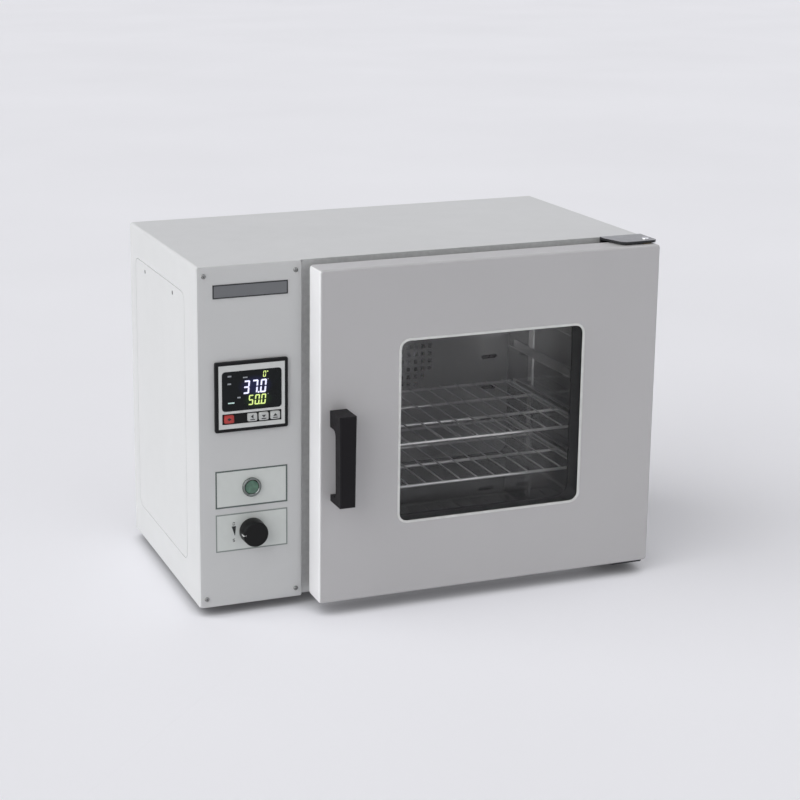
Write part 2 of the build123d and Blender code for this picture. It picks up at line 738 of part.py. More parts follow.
def fascia_outline(shrink, front, back):
    """The recess inside the bezel's border, or a plate that is smaller all round."""
    half_width = BEZEL_WIDTH / 2 - BEZEL_BORDER - shrink
    half_height = BEZEL_HEIGHT / 2 - BEZEL_BORDER - shrink
    return block(
        (controls_x - half_width, controls_x + half_width),
        (front, back),
        (controller_z - half_height, controller_z + half_height),
    )


def key_block(offset, grow, front, back):
    """A key's cap, or the well round it when grown by the clearance."""
    x = key_strip_left + offset
    half_width = KEY_WIDTH / 2 + grow
    half_height = KEY_HEIGHT / 2 + grow
    cap = block(
        (x - half_width, x + half_width),
        (front, back),
        (key_strip_z - half_height, key_strip_z + half_height),
    )
    return chamfer(cap.edges().filter_by(Axis.Y), KEY_CORNER)


def key_seat_y():
    """Depth of the floor of a key's well, where the pressed cap stops."""
    return -BEZEL_PROUD - KEY_PROUD + KEY_CAP + KEY_TRAVEL + KEY_END_PLAY


def key_stem(offset, grow, front, back):
    half = KEY_STEM / 2 + grow
    x = key_strip_left + offset
    return block((x - half, x + half), (front, back), (key_strip_z - half, key_strip_z + half))


def key(offset):
    """One pressable key: a cap that stands proud of the strip, and a guided stem."""
    top = -BEZEL_PROUD - KEY_PROUD
    cap = key_block(offset, 0, top, top + KEY_CAP)
    cap = chamfer(cap.faces().sort_by(Axis.Y)[0].edges(), KEY_CORNER / 2)
    return cap + key_stem(offset, 0, top + KEY_CAP - KEY_ROOT, top + KEY_CAP + KEY_STEM_LENGTH)


def controller_fascia():
    """The silver face plate inside the bezel, open over the display and round each key."""
    fascia = fascia_outline(SHEET_FIT / 2, -BEZEL_PROUD, fascia_y)
    fascia -= display_outline(SHEET_FIT / 2, -BEZEL_PROUD - 1, fascia_y + 1)
    return fascia - block(
        (key_strip_left, key_strip_left + KEY_STRIP_WIDTH),
        (-BEZEL_PROUD - 1, fascia_y + 1),
        (key_strip_z - KEY_STRIP_HEIGHT / 2, key_strip_z + KEY_STRIP_HEIGHT / 2),
    )


def display_outline(grow, front, back):
    return panel(
        controls_x,
        display_z,
        DISPLAY_WIDTH + 2 * grow,
        DISPLAY_HEIGHT + 2 * grow,
        DISPLAY_CORNER + grow,
        front,
        back,
    )


def label(z, width, height, thickness):
    """A thin square-cornered plate lying on the control panel."""
    return block(
        (controls_x - width / 2, controls_x + width / 2), (-thickness, 0), (z - height / 2, z + height / 2)
    )


def power_label():
    plate = label(POWER_CENTRE_Z, LABEL_WIDTH, POWER_LABEL_HEIGHT, LABEL_THICKNESS)
    hole = rod_y(
        controls_x, POWER_CENTRE_Z, POWER_BARREL_RADIUS + SHEET_FIT, label_front_y - 1, 1, ROUND_SIDES
    )
    return plate - hole


def air_label():
    plate = label(AIR_CENTRE_Z, LABEL_WIDTH, AIR_LABEL_HEIGHT, LABEL_THICKNESS)
    return plate - hole_y(controls_x, AIR_CENTRE_Z, SPINDLE_RADIUS + SHEET_FIT, label_front_y - 1, 1)


def power_switch_housing():
    """The push switch's polished ring in front of the panel and its barrel behind it."""
    front = label_front_y - POWER_RING_PROUD
    ring = rod_y(controls_x, POWER_CENTRE_Z, POWER_RING_RADIUS, front, label_front_y, DIAL_SIDES)
    ring = chamfer(ring.faces().sort_by(Axis.Y)[0].edges(), POWER_RING_EDGE)
    housing = ring + rod_y(
        controls_x, POWER_CENTRE_Z, POWER_BARREL_RADIUS, label_front_y, POWER_BARREL_LENGTH, ROUND_SIDES
    )
    well = front + POWER_BUTTON_RECESS + POWER_BUTTON_LENGTH + POWER_TRAVEL + POWER_END_PLAY
    bore = POWER_BUTTON_RADIUS + POWER_CLEARANCE
    return housing - rod_y(controls_x, POWER_CENTRE_Z, bore, front - 1, well, DIAL_SIDES)


def power_button():
    front = label_front_y - POWER_RING_PROUD + POWER_BUTTON_RECESS
    back = front + POWER_BUTTON_LENGTH
    button = rod_y(controls_x, POWER_CENTRE_Z, POWER_BUTTON_RADIUS, front, back, DIAL_SIDES)
    return chamfer(button.faces().sort_by(Axis.Y)[0].edges(), POWER_BUTTON_EDGE)


def air_knob():
    """A tapered round knob with a pointer groove in its face and a bore for the spindle."""
    back = label_front_y - KNOB_GAP
    front = back - KNOB_LENGTH
    knob = rod_y(controls_x, AIR_CENTRE_Z, KNOB_RADIUS, front, back, DIAL_SIDES)
    knob = drawn_in(knob.faces().sort_by(Axis.Y)[0], KNOB_DRAW_IN, KNOB_LENGTH - KNOB_RIM)
    knob = chamfer(knob.faces().sort_by(Axis.Y)[0].edges(), KNOB_EDGE)
    knob -= block(
        (controls_x - KNOB_RADIUS, controls_x - KNOB_RADIUS / 3),
        (front - 1, front + POINTER_DEPTH),
        (AIR_CENTRE_Z - POINTER_WIDTH / 2, AIR_CENTRE_Z + POINTER_WIDTH / 2),
    )
    bore = hole_y(controls_x, AIR_CENTRE_Z, SPINDLE_RADIUS, front + KNOB_WALL, back + 1, ROUND_SIDES)
    return knob - bore


def damper():
    """The knob's spindle and the butterfly plate on it, level across the duct when shut."""
    half = DUCT_INNER / 2
    start = label_front_y - KNOB_GAP - KNOB_LENGTH + KNOB_WALL
    end = DUCT_CENTRE_Y + half + 2 * DUCT_SHEET
    spindle = rod_y(controls_x, AIR_CENTRE_Z, SPINDLE_RADIUS, start, end)
    blade_half = half - DAMPER_CLEARANCE
    blade = block(
        (controls_x - blade_half, controls_x + blade_half),
        (DUCT_CENTRE_Y - blade_half, DUCT_CENTRE_Y + blade_half),
        (AIR_CENTRE_Z - DAMPER_THICKNESS / 2, AIR_CENTRE_Z + DAMPER_THICKNESS / 2),
    )
    return spindle + blade


def air_duct():
    """A square sheet duct that rises from the base slots and turns into the chamber."""
    end = chamber_left - LINER_SHEET

    def run(half, bottom, right):
        rise = block(
            (controls_x - half, controls_x + half),
            (DUCT_CENTRE_Y - half, DUCT_CENTRE_Y + half),
            (bottom, duct_outlet_z + half),
        )
        turn = block(
            (controls_x - half, right),
            (DUCT_CENTRE_Y - half, DUCT_CENTRE_Y + half),
            (duct_outlet_z - half, duct_outlet_z + half),
        )
        return rise + turn

    half = DUCT_INNER / 2
    duct = run(half + DUCT_SHEET, DUCT_BOTTOM_Z, end) - run(half, DUCT_BOTTOM_Z - 1, end + 1)
    return duct - hole_y(controls_x, AIR_CENTRE_Z, SPINDLE_RADIUS + SHEET_FIT, 0, DUCT_CENTRE_Y + DUCT_INNER)


# ---------------------------------------------------------------- bay internals
def heat_sink():
    """A finned aluminium block on the partition that carries the relay."""
    right = BAY_WIDTH - SHEET
    left = right - SINK_DEPTH
    y = (relay_y - RELAY_HEIGHT / 2 - SINK_MARGIN, relay_y + RELAY_HEIGHT / 2 + SINK_MARGIN)
    z = (relay_z - RELAY_LENGTH / 2 - SINK_MARGIN, relay_z + RELAY_LENGTH / 2 + SINK_MARGIN)
    fin_pitch = (y[1] - y[0]) / SINK_FINS
    sink = block((left, left + SINK_BASE), y, z)
    for fin in range(SINK_FINS):
        start = y[0] + (fin + 0.25) * fin_pitch
        sink += block((left + SINK_BASE / 2, right), (start, start + fin_pitch / 2), z)
    return sink


def relay():
    """The solid-state relay, with a recess for the terminals at each end."""
    right = BAY_WIDTH - SHEET - SINK_DEPTH
    left = right - RELAY_WIDTH
    body = block(
        (left, right),
        (relay_y - RELAY_HEIGHT / 2, relay_y + RELAY_HEIGHT / 2),
        (relay_z - RELAY_LENGTH / 2, relay_z + RELAY_LENGTH / 2),
    )
    body = chamfer(body.faces().sort_by(Axis.X)[0].edges(), RELAY_EDGE)
    for end in (-1, 1):
        z = relay_z + end * (RELAY_LENGTH / 2 - TERMINAL_INSET)
        body -= block(
            (left - 1, left + TERMINAL_DEPTH),
            (relay_y - TERMINAL_WIDTH / 2, relay_y + TERMINAL_WIDTH / 2),
            (z - TERMINAL_HEIGHT / 2, z + TERMINAL_HEIGHT / 2),
        )
    return body


def power_inlet():
    """The three-pin appliance inlet in the rear sheet."""
    def body(width, height, corner, front, back):
        shape = block(
            (controls_x - width / 2, controls_x + width / 2),
            (front, back),
            (INLET_Z - height / 2, INLET_Z + height / 2),
        )
        return chamfer(shape.edges().filter_by(Axis.Y), corner)

    flange_back = rear_y + INLET_FLANGE
    flange_height = INLET_HEIGHT + 2 * INLET_SOCKET_CORNER + INLET_CORNER
    inlet = body(INLET_WIDTH + 2 * INLET_EAR, flange_height, INLET_CORNER, rear_y, flange_back)
    inlet += body(INLET_WIDTH, INLET_HEIGHT, INLET_SOCKET_CORNER, rear_y - INLET_DEPTH, rear_y)
    socket = (INLET_WIDTH - 2 * INLET_WALL, INLET_HEIGHT - 2 * INLET_WALL, INLET_SOCKET_CORNER)
    floor_y = rear_y - INLET_SOCKET
    inlet -= body(*socket, floor_y, flange_back + 1)
    for across, up in ((-1, -1), (0, 1), (1, -1)):
        x = controls_x + across * INLET_PIN_PITCH
        z = INLET_Z + up * INLET_PIN_RISE
        inlet += block(
            (x - INLET_PIN_WIDTH / 2, x + INLET_PIN_WIDTH / 2),
            (floor_y - 1, rear_y - INLET_PIN_RECESS),
            (z - INLET_PIN_HEIGHT / 2, z + INLET_PIN_HEIGHT / 2),
        )
    return inlet


# ---------------------------------------------------------------- chamber
def chamber_liner():
    """The stainless wrap round the chamber, with a flange behind the front frame."""
    front = face_y + SHEET
    liner = chamber_outline(LINER_SHEET, front, liner_back_y + LINER_SHEET)
    liner += block(
        (chamber_left - FLANGE, chamber_right + FLANGE),
        (front, front + LINER_SHEET),
        (CHAMBER_FLOOR - FLANGE, chamber_top + FLANGE),
    )
    liner -= chamber_outline(0, front - 1, liner_back_y + 2 * LINER_SHEET)
    half = DUCT_INNER / 2
    return liner - block(
        (chamber_left - 2 * LINER_SHEET, chamber_left + 1),
        (DUCT_CENTRE_Y - half, DUCT_CENTRE_Y + half),
        (duct_outlet_z - half, duct_outlet_z + half),
    )


def chamber_back():
    """The stainless sheet that closes the wrap behind the fan, with its holes."""
    sheet = chamber_outline(0, liner_back_y, liner_back_y + LINER_SHEET)
    cut = (liner_back_y - 1, liner_back_y + 2 * LINER_SHEET)
    sheet -= hole_y(chamber_x, fan_z, 2 * FAN_SHAFT_RADIUS, *cut)
    sheet -= rod_y(exhaust_x, exhaust_z, EXHAUST_RADIUS - EXHAUST_WALL, *cut, SMALL_SIDES)
    sheet -= rod_y(probe_x, probe_z, PROBE_RADIUS, *cut, SMALL_SIDES)
    for x, z in heater_leg_places():
        sheet -= rod_y(x, z, HEATER_ROD_RADIUS, *cut, SMALL_SIDES)
    return sheet


def insulation():
    """Mineral wool that fills the cabinet round the chamber."""
    wool_gap = SHEET_FIT
    wool = block(
        (BAY_WIDTH + wool_gap, CABINET_WIDTH - 2 * SHEET - 2 * SHEET_FIT),
        (face_y + FLANGE + wool_gap, rear_y - FLANGE - wool_gap),
        (2 * SHEET + wool_gap, CABINET_HEIGHT - 2 * SHEET - 2 * SHEET_FIT),
    )
    edge = LINER_SHEET + wool_gap
    wool -= block(
        (chamber_left - edge, chamber_right + edge),
        (0, liner_back_y + edge),
        (CHAMBER_FLOOR - edge, chamber_top + edge),
    )
    cut = (liner_back_y, rear_y)
    wool -= hole_y(chamber_x, fan_z, FAN_HUB_RADIUS, *cut)
    wool -= hole_y(exhaust_x, exhaust_z, EXHAUST_RADIUS + wool_gap, *cut)
    wool -= hole_y(probe_x, probe_z, PROBE_RADIUS + wool_gap, *cut)
    for x, z in heater_leg_places():
        wool -= hole_y(x, z, HEATER_ROD_RADIUS + wool_gap, *cut)
    half = DUCT_INNER / 2 + DUCT_SHEET + wool_gap
    wool -= block(
        (BAY_WIDTH - 1, chamber_left),
        (DUCT_CENTRE_Y - half, DUCT_CENTRE_Y + half),
        (duct_outlet_z - half, duct_outlet_z + half),
    )
    return wool


def duct_plate():
    """The perforated false back in front of the fan, folded back at both sides."""
    x = (chamber_left + PLATE_GAP, chamber_right - PLATE_GAP)
    z = (CHAMBER_FLOOR + PLATE_GAP, chamber_top - PLATE_GAP)
    size = (x[1] - x[0], z[1] - z[0], CHAMBER_CORNER)
    outline = facing_front(chamber_x, chamber_z, plate_y + PLATE_SHEET) * rounded_outline(*size, FOLD_FLATS)
    centre = (HOLE_ROWS - 1) / 2
    for row in range(HOLE_ROWS):
        for column in range(HOLE_ROWS):
            across = (column - centre) * HOLE_PITCH
            up = (row - centre) * HOLE_PITCH
            if math.hypot(across, up) > HOLE_FIELD_RADIUS:
                continue
            hole = facing_front(chamber_x + across, fan_z + up, plate_y + PLATE_SHEET)
            outline -= hole * RegularPolygon(HOLE_RADIUS, PERFORATION_SIDES, rotation=180 / PERFORATION_SIDES)
    plate = extrude(outline, amount=PLATE_SHEET)
    for side in (-1, 1):
        column = chamber_x + side * (chamber_width / 2 - OUTLET_SLOT_INSET)
        plate -= slots(
            column,
            chamber_z,
            plate_y - 1,
            plate_y + 2 * PLATE_SHEET,
            OUTLET_SLOTS,
            OUTLET_SLOT_LENGTH,
            OUTLET_SLOT_PITCH,
            OUTLET_SLOT_WIDTH,
        )
    for left in (x[0], x[1] - PLATE_SHEET):
        side_z = (z[0] + 2 * CHAMBER_CORNER, z[1] - 2 * CHAMBER_CORNER)
        plate += block((left, left + PLATE_SHEET), (plate_y, liner_back_y - PLATE_GAP), side_z)
    plate -= hole_y(probe_x, probe_z, PROBE_RADIUS + SHEET_FIT, plate_y - 1, plate_y + 2 * PLATE_SHEET)
    return plate


def shelf_rack(side):
    """A ladder on one side wall: two upright strips and a ledge at every level. Side is -1 or 1."""
    wall = chamber_x + side * chamber_width / 2

    def from_wall(near, far):
        return tuple(sorted((wall - side * near, wall - side * far)))

    bottom = CHAMBER_FLOOR + RACK_FOOT_GAP
    rack = None
    for y in (shelf_front + RACK_FRONT_POST_INSET, shelf_front + shelf_depth - RACK_REAR_POST_INSET):
        post = block(
            from_wall(0, RACK_STRIP_THICKNESS),
            (y - RACK_STRIP_WIDTH / 2, y + RACK_STRIP_WIDTH / 2),
            (bottom, chamber_top - RACK_HEAD_GAP),
        )
        rack = post if rack is None else rack + post
    for level in range(SHELF_LEVELS):
        top = shelf_level_z(level) - CROSS_WIRE_RADIUS * wire_flat - SHELF_RAIL_LIFT
        ledge = block(
            from_wall(0, RACK_LEDGE),
            (shelf_front, shelf_front + shelf_depth),
            (top - RACK_STRIP_THICKNESS, top),
        )
        upstand = block(
            from_wall(0, RACK_STRIP_THICKNESS),
            (shelf_front, shelf_front + shelf_depth),
            (top - RACK_STRIP_THICKNESS, top + RACK_UPSTAND),
        )
        rack += ledge + upstand
    return rack


def wire_outline(radius, sides):
    """A wire's section, turned so that a flat lies on top and one below."""
    return RegularPolygon(radius, sides, rotation=180 / sides if sides % 4 == 0 else 0)


def wire_x(y, z, radius, left, right):
    """A drawn wire that runs left to right."""
    section = Plane((left, y, z), x_dir=(0, 1, 0), z_dir=(1, 0, 0)) * wire_outline(radius, WIRE_SIDES)
    return extrude(section, amount=right - left)


def wire_y(x, z, radius, front, back, sides=WIRE_SIDES):
    """A drawn wire that runs front to back."""
    return extrude(facing_front(x, z, back) * wire_outline(radius, sides), amount=back - front)


def shelf_level_z(level):
    """Height of the middle of a shelf's frame wire, counting the levels up from 0."""
    lowest = CHAMBER_FLOOR + LOWEST_LEVEL_RISE
    highest = chamber_top - HIGHEST_LEVEL_DROP
    return lowest + (highest - lowest) * level / (SHELF_LEVELS - 1)


def wire_shelf(level):
    """A welded wire shelf: side rails, cross wires, and thinner wires laid over them."""
    z = shelf_level_z(level)
    left = chamber_left + SHELF_SIDE_GAP
    right = chamber_right - SHELF_SIDE_GAP
    front = shelf_front + CROSS_WIRE_RADIUS
    back = shelf_front + shelf_depth - CROSS_WIRE_RADIUS
    shelf = wire_y(left, z, CROSS_WIRE_RADIUS, front, back) + wire_y(right, z, CROSS_WIRE_RADIUS, front, back)
    for wire in range(CROSS_WIRES):
        y = front + (back - front) * wire / (CROSS_WIRES - 1)
        shelf += wire_x(y, z, CROSS_WIRE_RADIUS, left - CROSS_WIRE_RADIUS, right + CROSS_WIRE_RADIUS)
    thin_z = z + CROSS_WIRE_RADIUS * wire_flat + DEPTH_WIRE_RADIUS * thin_wire_flat
    ends = (front - CROSS_WIRE_RADIUS / 2, back + CROSS_WIRE_RADIUS / 2)
    for wire in range(DEPTH_WIRES):
        x = left + (right - left) * (wire + 0.5) / DEPTH_WIRES
        shelf += wire_y(x, thin_z, DEPTH_WIRE_RADIUS, *ends, THIN_WIRE_SIDES)
    return shelf


# ---------------------------------------------------------------- air circulation
def heater_leg_places():
    """(x, z) of the two heater ends that leave through the rear wall."""
    z = fan_z - HEATER_HALF
    return [(chamber_x - HEATER_LEG_SPACING / 2, z), (chamber_x + HEATER_LEG_SPACING / 2, z)]


def heater_element():
    """A sheathed rod bent into a square round the fan, with both ends turned to the rear."""
    y = plate_y + PLATE_SHEET + FAN_SPACE / 2
    end = rear_y + HEATER_TAIL
    left = chamber_x - HEATER_HALF
    right = chamber_x + HEATER_HALF
    low = fan_z - HEATER_HALF
    high = fan_z + HEATER_HALF
    inner_left, inner_right = (place[0] for place in heater_leg_places())
    corners = [
        (inner_left, end, low),
        (inner_left, y, low),
        (left, y, low),
        (left, y, high),
        (right, y, high),
        (right, y, low),
        (inner_right, y, low),
        (inner_right, end, low),
    ]
    path = Polyline(*corners)
    section = facing_front(inner_left, low, end) * disc(HEATER_ROD_RADIUS, SMALL_SIDES)
    return sweep(section, path=path, transition=Transition.RIGHT)


def fan_wheel():
    """The radial wheel behind the duct plate and the shaft that joins it to the motor."""
    front = plate_y + PLATE_SHEET + FAN_FRONT_GAP
    back = front + FAN_DEPTH
    wheel = rod_y(chamber_x, fan_z, FAN_HUB_RADIUS, front, back, SMALL_SIDES)
    wheel += rod_y(chamber_x, fan_z, FAN_RADIUS, back - SHEET, back, ROUND_SIDES)
    centre = Location((chamber_x, 0, fan_z))
    tip = FAN_RADIUS - FAN_RIM
    blade = block(
        (tip - FAN_BLADE_LENGTH, tip),
        (back - FAN_BLADE_DEPTH, back - SHEET / 2),
        (-SHEET / 2, SHEET / 2),
    )
    blade = blade.rotate(Axis((tip - FAN_BLADE_LENGTH / 2, 0, 0), (0, 1, 0)), FAN_BLADE_TURN)
    for index in range(FAN_BLADES):
        turned = blade.rotate(Axis.Y, 360 * index / FAN_BLADES)
        wheel += centre * turned
    wheel += rod_y(chamber_x, fan_z, FAN_SHAFT_RADIUS, back - SHEET, rear_y + FAN_SHAFT_REACH)
    return wheel


def fan_motor():
    """A round motor on a square plate, bolted to the rear sheet, with an open bearing bore."""
    half = MOTOR_PLATE / 2
    seat = rear_y + MOTOR_PLATE_SHEET
    room = HEATER_LEG_ROOM
    plate = block((chamber_x - half, chamber_x + half), (rear_y, seat), (fan_z - half, fan_z + half))
    for x, z in heater_leg_places():
        plate -= block((x - room, x + room), (rear_y - 1, seat + 1), (0, z + room))
    body = rod_y(chamber_x, fan_z, MOTOR_RADIUS, seat, rear_y + MOTOR_LENGTH, ROUND_SIDES)
    body = chamfer(body.faces().sort_by(Axis.Y)[-1].edges(), MOTOR_EDGE)
    motor = plate + body
    bore = FAN_SHAFT_RADIUS + FAN_SHAFT_CLEARANCE
    end = rear_y + FAN_SHAFT_REACH + FAN_SHAFT_END_PLAY
    return motor - rod_y(chamber_x, fan_z, bore, rear_y - 1, end)


def motor_cover_screw_places():
    """(x, z) of the screws through the motor cover's side flanges."""
    reach = MOTOR_COVER_SIZE / 2 + FLANGE / 2
    rise = MOTOR_COVER_SIZE / 2 - FLANGE
    return [
        (chamber_x + side * reach, fan_z + up * rise) for side in (-1, 1) for up in (-1, 1)
    ]


def motor_cover():
    """The vented box over the fan motor on the rear sheet."""
    half = MOTOR_COVER_SIZE / 2
    x = (chamber_x - half, chamber_x + half)
    z = (fan_z - half, fan_z + half)
    cover = block(x, (rear_y, rear_y + MOTOR_COVER_DEPTH), z)
    cover = chamfer(cover.edges().filter_by(Axis.Y), MOTOR_COVER_EDGE)
    cover = chamfer(cover.faces().sort_by(Axis.Y)[-1].edges(), MOTOR_COVER_EDGE)
    cover += block(
        (x[0] - FLANGE, x[1] + FLANGE),
        (rear_y, rear_y + SHEET),
        (z[0] + MOTOR_COVER_EDGE, z[1] - MOTOR_COVER_EDGE),
    )
    hollow = block(
        (x[0] + SHEET, x[1] - SHEET),
        (rear_y - 1, rear_y + MOTOR_COVER_DEPTH - SHEET),
        (z[0] + SHEET, z[1] - SHEET),
    )
    hollow = chamfer(hollow.edges().filter_by(Axis.Y), MOTOR_COVER_EDGE)
    cover -= chamfer(hollow.faces().sort_by(Axis.Y)[-1].edges(), MOTOR_COVER_EDGE)
    end = rear_y + MOTOR_COVER_DEPTH
    cover -= slots(chamber_x, fan_z, end - 2 * SHEET, end + 1, SLOT_COUNT)
    for x_screw, z_screw in motor_cover_screw_places():
        cover -= screw_hole(x_screw, z_screw, rear_y - 1, rear_y + 2 * SHEET)
    return cover


def motor_cover_screws():
    seat = rear_y + SHEET
    return [screw_from_back(x, z, seat, MOTOR_COVER_SCREW_GRIP) for x, z in motor_cover_screw_places()]


def exhaust_pipe():
    """The vent pipe from the liner's back to the outside, with a collar on the rear sheet."""
    start = liner_back_y + LINER_SHEET
    end = rear_y + EXHAUST_PROUD
    pipe = rod_y(exhaust_x, exhaust_z, EXHAUST_RADIUS, start, end, ROUND_SIDES)
    pipe += rod_y(exhaust_x, exhaust_z, EXHAUST_COLLAR_RADIUS, rear_y, rear_y + EXHAUST_COLLAR, ROUND_SIDES)
    return pipe - rod_y(exhaust_x, exhaust_z, EXHAUST_RADIUS - EXHAUST_WALL, start - 1, end + 1, ROUND_SIDES)


def temperature_probe():
    """The slim sensor, gripped in the liner's back, that reaches through the false back."""
    end = liner_back_y + LINER_SHEET + PROBE_TAIL
    return rod_y(probe_x, probe_z, PROBE_RADIUS, plate_y - PROBE_REACH, end, SMALL_SIDES)


# ---------------------------------------------------------------- door
def hinge_screw_places():
    """(x, z) of the screws through the hinge plates' upright legs."""
    columns = (CABINET_WIDTH - HINGE_SCREW_OUTER, CABINET_WIDTH - HINGE_LENGTH + HINGE_SCREW_INNER)
    rows = (HINGE_SCREW_HEIGHT, CABINET_HEIGHT - HINGE_SCREW_HEIGHT)
    return [(x, z) for x in columns for z in rows]


def hinge_plate(upper):
    """An angle on the chamber face that reaches over, or under, the door's hinge corner."""
    sheet = HINGE_PLATE
    gap = BUSH_FLANGE + CATCH_GAP
    left = CABINET_WIDTH - HINGE_LENGTH
    if upper:
        plate_z = (door_top + gap, door_top + gap + sheet)
        leg_z = (plate_z[1] - HINGE_LEG, plate_z[1])
    else:
        plate_z = (DOOR_BOTTOM - gap - sheet, DOOR_BOTTOM - gap)
        leg_z = (plate_z[0], plate_z[0] + HINGE_LEG)
    outline = Polyline(
        (left, face_y),
        (CABINET_WIDTH, face_y),
        (CABINET_WIDTH, face_y - HINGE_REACH),
        (left + HINGE_TAPER, face_y - HINGE_REACH),
        (left, face_y - HINGE_NECK),
        close=True,
    )
    arm = extrude(Pos(0, 0, plate_z[0]) * make_face(outline), amount=sheet)
    arm = chamfer(arm.edges().filter_by(Axis.Z).group_by(Axis.Y)[0], HINGE_CORNER)
    leg = block((left, CABINET_WIDTH), (face_y - sheet, face_y), leg_z)
    angle = arm + leg
    for x, z in hinge_screw_places():
        angle -= screw_hole(x, z, face_y - 2 * sheet, face_y + 1)
    rivet_hole = PIN_RADIUS / math.cos(math.pi / ROUND_SIDES)
    return angle - rod_z(pin_x, door_mid_y, rivet_hole, plate_z[0] - 1, plate_z[1] + 1, ROUND_SIDES)


def hinge_pins():
    """Headed pins riveted through the hinge plates and pointing into the door."""
    gap = BUSH_FLANGE + CATCH_GAP
    pins = []
    for edge, outward in ((door_top, 1), (DOOR_BOTTOM, -1)):
        outer_face = edge + outward * (gap + HINGE_PLATE)
        shank = sorted((edge - outward * PIN_ENGAGEMENT, outer_face))
        head = sorted((outer_face, outer_face + outward * PIN_HEAD))
        pin = rod_z(pin_x, door_mid_y, PIN_RADIUS, *shank)
        cap = rod_z(pin_x, door_mid_y, PIN_HEAD_RADIUS, *head, ROUND_SIDES)
        rim = cap.faces().sort_by(Axis.Z)[-1 if outward > 0 else 0].edges()
        pins.append(pin + chamfer(rim, PIN_HEAD / 2))
    return pins


def hinge_bushes():
    """Flanged bushes in the door's top and bottom edges that turn on the pins."""
    depth = PIN_ENGAGEMENT + PIN_END_PLAY + BUSH_FLOOR
    bore = PIN_RADIUS + PIN_CLEARANCE
    result = []
    for edge, inward in ((door_top, -1), (DOOR_BOTTOM, 1)):
        body = sorted((edge, edge + inward * depth))
        flange = sorted((edge, edge - inward * BUSH_FLANGE))
        bush = rod_z(pin_x, door_mid_y, BUSH_RADIUS, *body, ROUND_SIDES)
        bush += rod_z(pin_x, door_mid_y, BUSH_FLANGE_RADIUS, *flange, ROUND_SIDES)
        end = edge + inward * (PIN_ENGAGEMENT + PIN_END_PLAY)
        hole = sorted((edge - inward * 2 * BUSH_FLANGE, end))
        result.append(bush - rod_z(pin_x, door_mid_y, bore, *hole))
    return result


def hinge_screws():
    seat = face_y - HINGE_PLATE
    length = HINGE_PLATE + HINGE_SCREW_GRIP
    return [screw_from_front(x, z, seat, length) for x, z in hinge_screw_places()]


def window_opening(grow, front, back):
    """The window's rounded outline, grown by a margin, as a solid between two depths."""
    return panel(
        door_x, door_z, window_width + 2 * grow, window_height + 2 * grow, WINDOW_CORNER + grow, front, back
    )


def door_filling(edge, front, back):
    """What fits in the door less an edge all round, with its four corners cut off."""
    filling = block(
        (door_left + edge, door_right - edge), (front, back), (DOOR_BOTTOM + edge, door_top - edge)
    )
    return chamfer(filling.edges().filter_by(Axis.Y), DOOR_CORNER - edge)


def door_shell():
    """The painted door skin: a pressed tray with a rounded rim, open behind and at the window."""
    size = (door_right - door_left, door_top - DOOR_BOTTOM, DOOR_CORNER)
    shell = panel(door_x, door_z, *size, door_front_y, door_back_y, SMALL_FLATS)
    shell = fillet(shell.faces().sort_by(Axis.Y)[0].edges(), DOOR_EDGE)
    shell -= door_filling(SHEET, door_front_y + SHEET, door_back_y + 1)
    shell -= window_opening(0, door_front_y - 1, door_front_y + 2 * SHEET)
    cut = (door_front_y - 1, door_front_y + 2 * SHEET)
    for z in handle_screw_heights():
        shell -= hole_y(handle_x(), z, HANDLE_SCREW_RADIUS + SCREW_CLEARANCE, *cut)
    for z in (DOOR_BOTTOM, door_top):
        shell -= rod_z(pin_x, door_mid_y, BUSH_RADIUS, z - 2 * SHEET, z + 2 * SHEET, ROUND_SIDES)
    return shell


def door_inner_panel():
    """The stainless back of the door with its raised plug round the inner pane."""
    edge = SHEET + SHEET_FIT
    sheet = door_filling(edge, door_back_y - LINER_SHEET, door_back_y)
    plug = chamber_outline(-PLUG_MARGIN, door_back_y - LINER_SHEET, plug_back_y)
    hollow = chamber_outline(
        -PLUG_MARGIN - LINER_SHEET, door_back_y - 2 * LINER_SHEET, plug_back_y - LINER_SHEET
    )
    return sheet + plug - hollow - window_opening(SLEEVE_MARGIN, door_back_y - 5, plug_back_y + 1)


def door_insulation():
    """Mineral wool between the door's two skins, round the window."""
    edge = SHEET + 2 * SHEET_FIT
    wool = door_filling(edge, sleeve_front_y + WOOL_GAP, door_back_y - LINER_SHEET - SHEET_FIT)
    margin = SLEEVE_MARGIN + SLEEVE_SHEET + SHEET_FIT
    wool -= block(
        (door_x - window_width / 2 - margin, door_x + window_width / 2 + margin),
        (door_front_y, door_back_y),
        (door_z - window_height / 2 - margin, door_z + window_height / 2 + margin),
    )
    reach = BUSH_RADIUS + SHEET_FIT
    for z in ((DOOR_BOTTOM, DOOR_BOTTOM + 2 * PIN_ENGAGEMENT), (door_top - 2 * PIN_ENGAGEMENT, door_top)):
        wool -= block((pin_x - reach, door_right), (door_mid_y - reach, door_mid_y + reach), z)
    return wool


def pane(y, margin):
    """A glass pane that overlaps the window opening by a margin, with its corners ground off."""
    half_width = window_width / 2 + margin
    half_height = window_height / 2 + margin
    glass = block(
        (door_x - half_width, door_x + half_width),
        (y, y + GLASS_THICKNESS),
        (door_z - half_height, door_z + half_height),
    )
    return chamfer(glass.edges().filter_by(Axis.Y), margin / 2)


def window_sleeve():
    """The stainless frame that holds the two panes apart."""
    outer = window_opening(SLEEVE_MARGIN + SLEEVE_SHEET, sleeve_front_y, inner_glass_y)
    return outer - window_opening(SLEEVE_MARGIN, sleeve_front_y - 1, inner_glass_y + 1)


